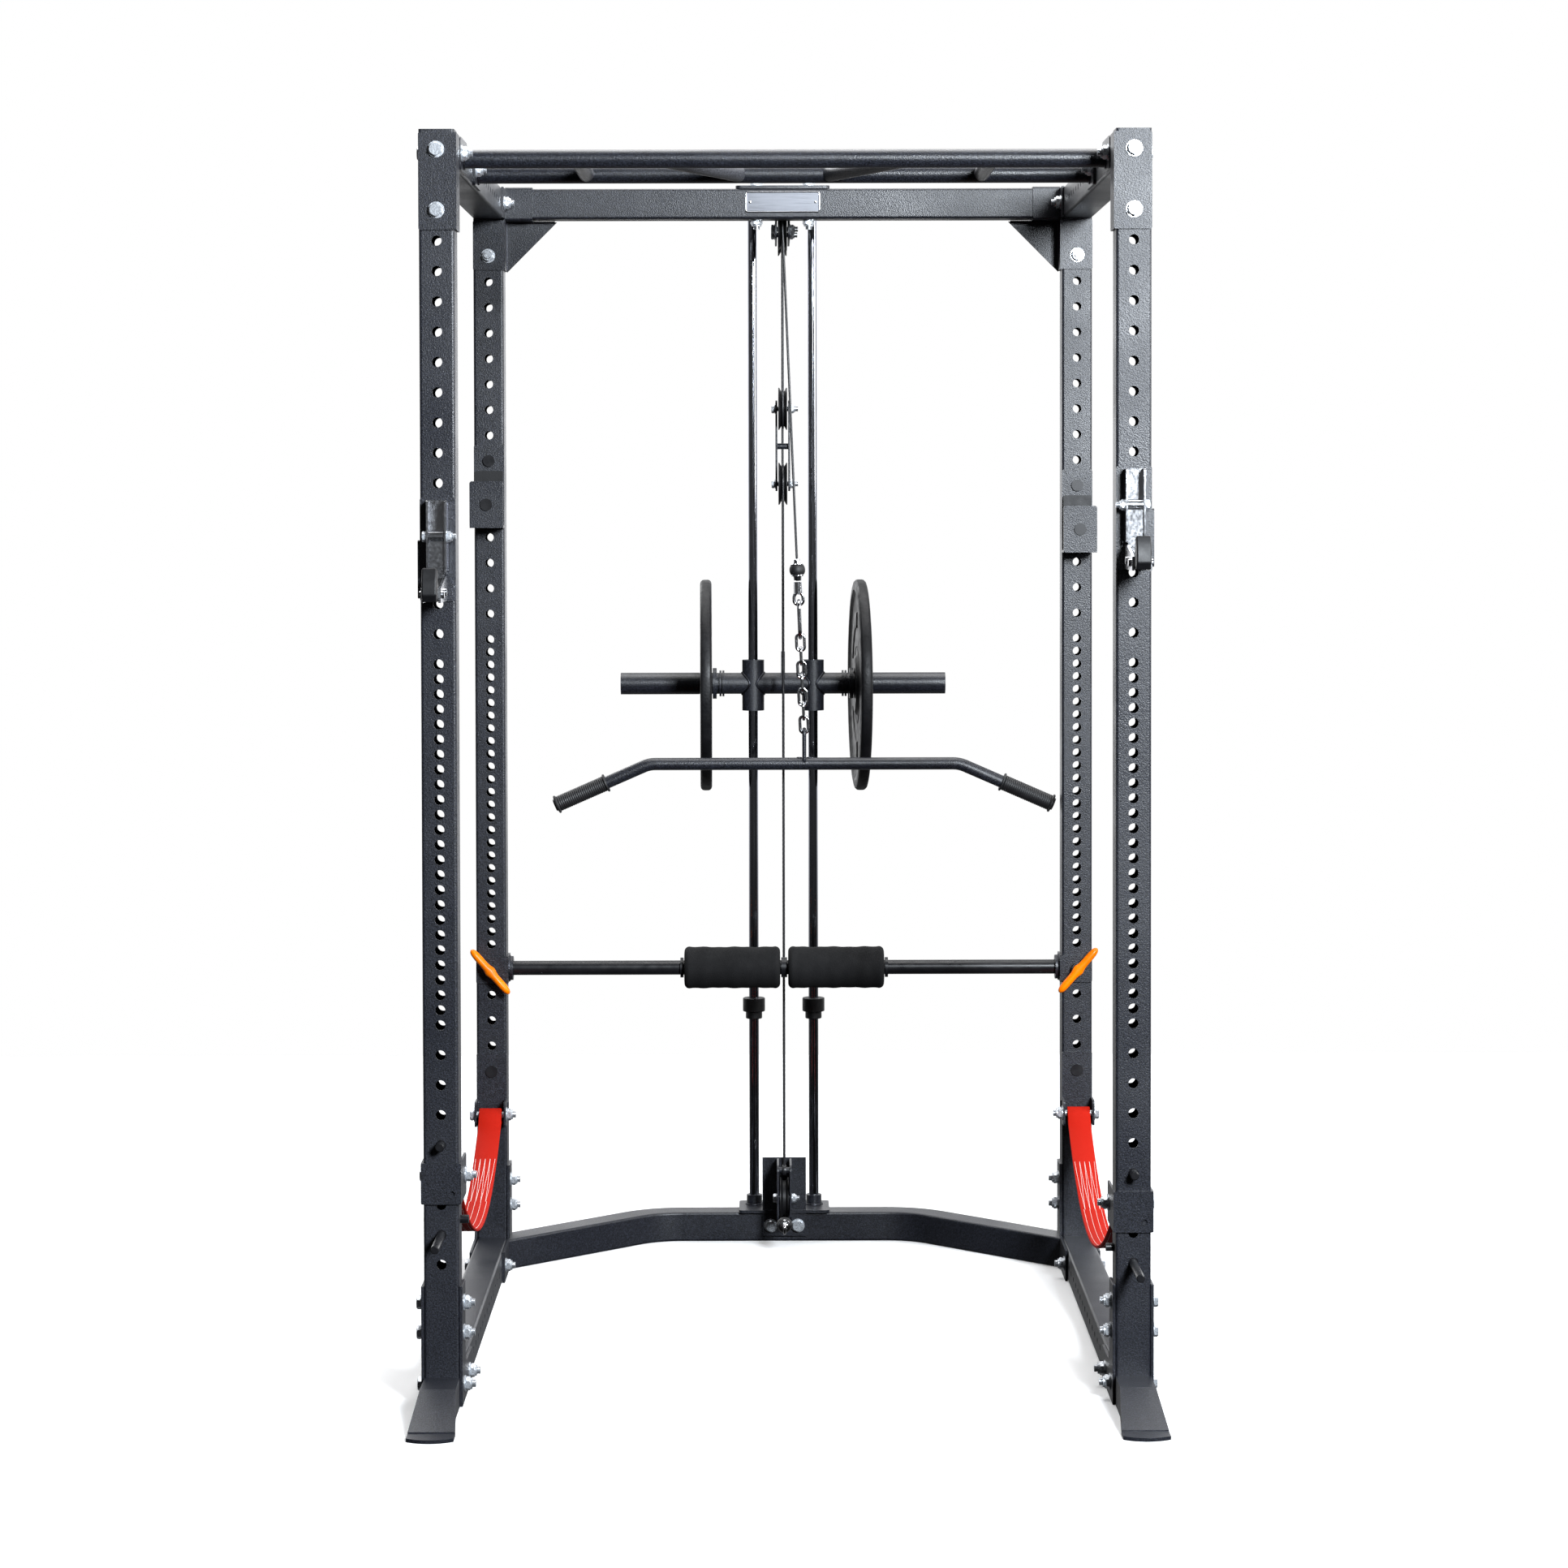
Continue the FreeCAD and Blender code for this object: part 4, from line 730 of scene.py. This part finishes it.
def weight_plates():
    """Two iron plates with rounded rims, a raised hub and plain raised bars on the web."""
    half, web = 0.012, 0.006
    profile = [(half - 0.0015, DISC_BORE), (half, DISC_BORE + 0.0015), (half, 0.056),
               (half - 0.0015, 0.0585), (web + 0.001, 0.063), (web, 0.066), (web, 0.186),
               (web + 0.001, 0.189), (half - 0.0015, 0.1955), (half, 0.198), (half, 0.210),
               (half - 0.0012, 0.2150), (half - 0.0045, DISC_R - 0.0008), (0.004, DISC_R)]
    profile += [(-along, radius) for along, radius in reversed(profile)]
    shape = Shape()
    for side, sign in SIDES.items():
        axis = Matrix.Rotation(DISC_YAW[side], 3, "Z") @ Vector((1, 0, 0))
        centre = rack(sign * DISC_MIDDLE, TOWER_Y, CARRIAGE_Z - DISC_DROP)
        shape.lathe(centre, axis, profile, 144, closed=True)
        across, up = Vector((0, 0, 1)).cross(axis), Vector((0, 0, 1))
        for face in (-1, 1):
            for bar in range(3):
                plate_bar(shape, centre, axis * face, across, up, bar * 120)
            shape.tube([centre + axis * face * web + (across * math.cos(a) + up * math.sin(a)) * 0.080
                        for a in (math.radians(5 * k) for k in range(72))], 0.0013, 8, closed=True)
    made = shape.piece("iron_plates", MATERIALS["iron_plate"], "carriage", "iron_plate", 28)
    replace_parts(made, "weight_plates")


def plate_bar(shape, centre, axis, across, up, start):
    """One raised arc on a plate's web."""
    rings = []
    for k in range(31):
        angle = math.radians(start + 25 + 70 * k / 30)
        out = across * math.cos(angle) + up * math.sin(angle)
        corners = [(0.118, 0.0055), (0.119, 0.0078), (0.121, 0.0085), (0.149, 0.0085), (0.151, 0.0078),
                   (0.152, 0.0055)]
        rings.append([centre + out * radius + axis * lift for radius, lift in corners])
    shape.skin(rings)


# ---- pulldown bar ----

def bar_grips():
    """A ribbed rubber grip with a flange at each end, on both bent ends of the bar."""
    shape = Shape()
    for side in SIDES.values():
        near, far = (Vector((LAT_MIDDLE.x + side * reach, LAT_MIDDLE.y,
                             LAT_Z - (reach - LAT_STRAIGHT) * LAT_SLOPE)) for reach in GRIP_SPAN)
        length = (far - near).length
        profile = [(0.0, GRIP_BORE), (0.0, 0.0178), (0.0008, 0.0188), (0.0032, 0.0188), (0.0045, 0.0165)]
        ribs, first = 24, 0.006
        pitch = (length - 2 * first) / ribs
        for rib in range(ribs):
            start = first + pitch * rib
            profile += [(start, 0.0150), (start + pitch * 0.2, 0.0158), (start + pitch * 0.7, 0.0158),
                        (start + pitch * 0.9, 0.0150)]
        profile += [(length - 0.0045, 0.0165), (length - 0.0032, 0.0188), (length - 0.0008, 0.0188),
                    (length, 0.0178), (length, GRIP_BORE)]
        shape.lathe(near, far - near, profile, 40, closed=True)
    made = shape.piece("lat_bar_rubber", MATERIALS["rubber"], "lat_bar_hanger", "rubber", 60)
    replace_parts(made, "lat_bar_grips")


# ---- nameplate ----

def nameplate():
    """A blank badge: a bright raised rim around a dark brushed field, with a rivet at each end."""
    low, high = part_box("nameplate")
    centre = (low + high) / 2
    half_x, half_z = (high.x - low.x) / 2, (high.z - low.z) / 2
    back = high.y

    def outline(inset, depth):
        radius = 0.005 - min(inset, 0.003)
        points = []
        for quarter, (sx, sz) in enumerate(((1, 1), (-1, 1), (-1, -1), (1, -1))):
            corner_x = centre.x + sx * (half_x - inset - radius)
            corner_z = centre.z + sz * (half_z - inset - radius)
            for k in range(7):
                angle = math.radians(90 * quarter + 15 * k)
                points.append(Vector((corner_x + radius * math.cos(angle), back - depth,
                                      corner_z + radius * math.sin(angle))))
        return points

    rim = Shape()
    rim.skin([outline(0, 0), outline(0, 0.0012), outline(0.0004, 0.0015), outline(0.0022, 0.0015),
              outline(0.0026, 0.0011), outline(0.0026, 0)], capped=False)
    for side in SIDES.values():
        rivet = Vector((centre.x + side * (half_x - 0.009), back - 0.0005, centre.z))
        rim.lathe(rivet, Vector((0, -1, 0)), [(0, 0.0026), (0.0006, 0.0024), (0.0010, 0.0014)], 24)
    made = rim.piece("badge_rim", MATERIALS["chrome_trim"], "root", "chrome_trim", 50)
    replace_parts(made, "nameplate")
    field = Shape()
    field.skin([outline(0.0024, 0), outline(0.0024, 0.0006)])
    field.piece("badge_field", BADGE_FIELD, "root", "chrome_trim")


# ---- welds and threads ----

def ripple(distance, angle):
    """The radius of a weld bead, heaped up at every puddle."""
    return 0.0020 + 0.0005 * abs(math.sin(math.pi * distance / 0.0042))


def root_welds():
    """Beads on the fixed steel."""
    shape = Shape()

    def bead(*corners):
        for start, end in zip(corners, corners[1:]):
            shape.tube(straight(start, end, 0.0014), ripple, 8)

    def ring(centre, axis, radius):
        count = round(2 * math.pi * radius / 0.0014)
        shape.tube(circle(centre, axis, radius, count), ripple, 8, closed=True)

    x_axis, z_axis = Vector((1, 0, 0)), Vector((0, 0, 1))
    for side, sign in SIDES.items():
        corner = sign * 0.551
        for y in (1.1345, 1.1415):
            bead(rack(corner, y, 1.994), rack(corner, y, 2.0895), rack(sign * 0.455, y, 2.0895))
        for y, z in ((0.1062, 2.118), (0.411, 2.119)):
            ring(rack(sign * 0.5495, y, z), x_axis, 0.0165)
        x, top = sign * SIDE_X, HOOK_TOP[side]
        for edge in (-0.0168, 0.0168):
            bead(rack(x + edge, -0.0345, top - 0.124), rack(x + edge, -0.0345, top - 0.010))
        for edge in (-0.0315, -0.0265, 0.0265, 0.0315):
            bead(rack(x + edge, 1.0855, 0.296), rack(x + edge, 1.0855, 0.334))
        for z in (2.1525, 0.0665):
            ring(rack(sign * ROD_X, TOWER_Y, z), z_axis, 0.0165)
        ring(rack(sign * 0.5505, *LEG_BAR), x_axis, 0.0245)
        for across in (0.011, 0.0155):
            bead(rack(sign * across, 1.175, 2.1525), rack(sign * across, 1.400, 2.1525))
    shape.piece("frame_welds", WELD, "root", "powder_coat", 60)


def moving_welds():
    """Saddle-shaped beads where the horns meet the guide sleeves, and the bar's eye."""
    shape = Shape()
    for side in SIDES.values():
        for way in (-1, 1):
            line = []
            for k in range(100):
                angle = 2 * math.pi * k / 100
                y, z = HORN_R * math.cos(angle) * 0.99, HORN_R * math.sin(angle)
                out = math.sqrt(SLEEVE_R ** 2 - y ** 2)
                line.append(rack(side * ROD_X + way * out, TOWER_Y + y * 1.02, CARRIAGE_Z + z * 1.02))
            shape.tube(line, ripple, 8, closed=True)
    shape.piece("carriage_welds", WELD, "carriage", "powder_coat", 60)
    eye = Shape()
    for way in (-1, 1):
        foot = Vector((LAT_MIDDLE.x + way * 0.010, LAT_MIDDLE.y, LAT_Z + 0.0120))
        eye.tube(circle(foot, Vector((0, 0, 1)), 0.0045, 24), 0.0014, 8, closed=True)
    eye.piece("lat_bar_welds", WELD, "lat_bar_hanger", "powder_coat", 60)


def bolt_islands():
    """The corner points of each separate bolt in the CAD node of bolts."""
    work = bmesh.new()
    work.from_mesh(NODES["hex_bolts"].data)
    bmesh.ops.remove_doubles(work, verts=work.verts, dist=0.00002)
    islands, seen = [], set()
    for start in work.verts:
        if start in seen:
            continue
        island, waiting = [], [start]
        seen.add(start)
        while waiting:
            here = waiting.pop()
            island.append(here.co.copy())
            for edge in here.link_edges:
                other = edge.other_vert(here)
                if other not in seen:
                    seen.add(other)
                    waiting.append(other)
        islands.append(island)
    work.free()
    return islands


def threads():
    """Screw threads on the end of every bolt that shows beyond its nut."""
    shape = Shape()
    pitch, turns = 0.0015, 4
    for points in bolt_islands():
        low = Vector([min(p[i] for p in points) for i in range(3)])
        high = Vector([max(p[i] for p in points) for i in range(3)])
        size = high - low
        along = max(range(3), key=lambda i: size[i])
        across = (along + 1) % 3
        centre = (low + high) / 2
        ends = {}
        for end in (low[along], high[along]):
            near = [p for p in points if abs(p[along] - end) < 0.0002]
            ends[end] = max(abs(p[across] - centre[across]) for p in near)
        tip = min(ends, key=ends.get)
        radius = ends[tip]
        axis = Vector((0, 0, 0))
        axis[along] = -1.0 if tip == high[along] else 1.0
        base = centre.copy()
        base[along] = tip
        profile = [(0.0003, radius * 0.8)]
        for turn in range(turns):
            start = 0.0003 + pitch * turn
            profile += [(start, radius - 0.0001), (start + pitch / 2, radius + 0.00035)]
        profile += [(0.0003 + pitch * turns, radius - 0.0001), (0.0003 + pitch * turns, radius * 0.8)]
        shape.lathe(base, axis, profile, 24, closed=True)
    shape.piece("bolt_threads", MATERIALS["zinc"], "root", "zinc", 20)


# ---- studio ----

def area_light(name, place, target, size, energy, colour):
    place, target = Vector(place), Vector(target)
    data = bpy.data.lights.new(name, "AREA")
    data.shape = "RECTANGLE"
    data.size, data.size_y = size
    data.energy = energy
    data.color = colour
    light = bpy.data.objects.new(name, data)
    bpy.context.scene.collection.objects.link(light)
    light.location = place
    light.rotation_euler = (target - place).to_track_quat("-Z", "Y").to_euler()
    light.visible_camera = False


def surround():
    """A white background to the camera, and a softer one that lights the cage, dim below and in front."""
    world = bpy.data.worlds.new("studio")
    bpy.context.scene.world = world
    world.use_nodes = True
    nodes, links = world.node_tree.nodes, world.node_tree.links
    lit = nodes["Background"]
    lit.inputs["Color"].default_value = SURROUND_TINT
    seen = nodes.new("ShaderNodeBackground")
    seen.inputs["Color"].default_value = (1, 1, 1, 1)
    seen.inputs["Strength"].default_value = 1.0
    direction = nodes.new("ShaderNodeSeparateXYZ")
    links.new(nodes.new("ShaderNodeTexCoord").outputs["Generated"], direction.inputs[0])
    fade = nodes.new("ShaderNodeMapRange")
    links.new(direction.outputs["Y"], fade.inputs["Value"])
    for key, value in SURROUND.items():
        fade.inputs[key].default_value = value
    level = nodes.new("ShaderNodeMapRange")
    links.new(direction.outputs["Z"], level.inputs["Value"])
    level.inputs["From Min"].default_value = -1.0
    band = nodes.new("ShaderNodeValToRGB")
    links.new(level.outputs["Result"], band.inputs["Fac"])
    elements = band.color_ramp.elements
    while len(elements) < len(SURROUND_BY_HEIGHT):
        elements.new(0.5)
    for element, (position, value) in zip(elements, SURROUND_BY_HEIGHT):
        element.position = position
        element.color = (value, value, value, 1.0)
    strength = nodes.new("ShaderNodeMath")
    strength.operation = "MULTIPLY"
    links.new(fade.outputs["Result"], strength.inputs[0])
    links.new(band.outputs["Color"], strength.inputs[1])
    links.new(strength.outputs[0], lit.inputs["Strength"])
    choose = nodes.new("ShaderNodeMixShader")
    links.new(nodes.new("ShaderNodeLightPath").outputs["Is Camera Ray"], choose.inputs["Fac"])
    links.new(lit.outputs[0], choose.inputs[1])
    links.new(seen.outputs[0], choose.inputs[2])
    links.new(choose.outputs[0], nodes["World Output"].inputs["Surface"])


def studio():
    """A white floor that casts no light on the cage, the surround, and the soft boxes."""
    surround()
    shape = Shape()
    shape.block(Vector((-2.6, -2.3, -0.02)), Vector((2.6, 3.2, 0)))
    paper = Graph("studio_floor", (0.93, 0.93, 0.93), 0.6, Emission_Color=(1, 1, 1, 1),
                  Emission_Strength=0.18)
    paper.colour(paper.noise(3.0, 3.0), [(0.3, (0.92, 0.92, 0.925)), (0.7, (0.95, 0.95, 0.95))])
    floor = shape.piece("studio_floor", paper.material, None)
    floor.location.z = -0.0003
    floor.visible_glossy = False
    floor.visible_diffuse = False
    for name, settings in LIGHTS.items():
        area_light(name, *settings)
    bpy.context.scene.view_settings.view_transform = "Standard"


def camera():
    """The camera, turned by its yaw, then tipped down by its pitch, then rolled."""
    ahead = Vector((math.sin(YAW), math.cos(YAW), 0))
    rise = Vector((0, 0, 1))
    forward = ahead * math.cos(PITCH) - rise * math.sin(PITCH)
    up = ahead * math.sin(PITCH) + rise * math.cos(PITCH)
    right = forward.cross(up)
    across = right * math.cos(ROLL) + up * math.sin(ROLL)
    upward = up * math.cos(ROLL) - right * math.sin(ROLL)
    data = bpy.data.cameras.new("camera")
    data.lens = LENS_MM
    data.sensor_width = 36.0
    data.shift_y = SHIFT_Y
    made = bpy.data.objects.new("camera", data)
    bpy.context.scene.collection.objects.link(made)
    turned = Matrix((across, upward, -forward)).transposed().to_4x4()
    made.matrix_world = Matrix.Translation(CAMERA_AT) @ turned
    bpy.context.scene.camera = made


dress_nodes()
for side in SIDES:
    strap(side)
    roller(side)
    lock_handle(side)
cables()
cable_stops()
weight_plates()
bar_grips()
nameplate()
root_welds()
moving_welds()
threads()
studio()
camera()
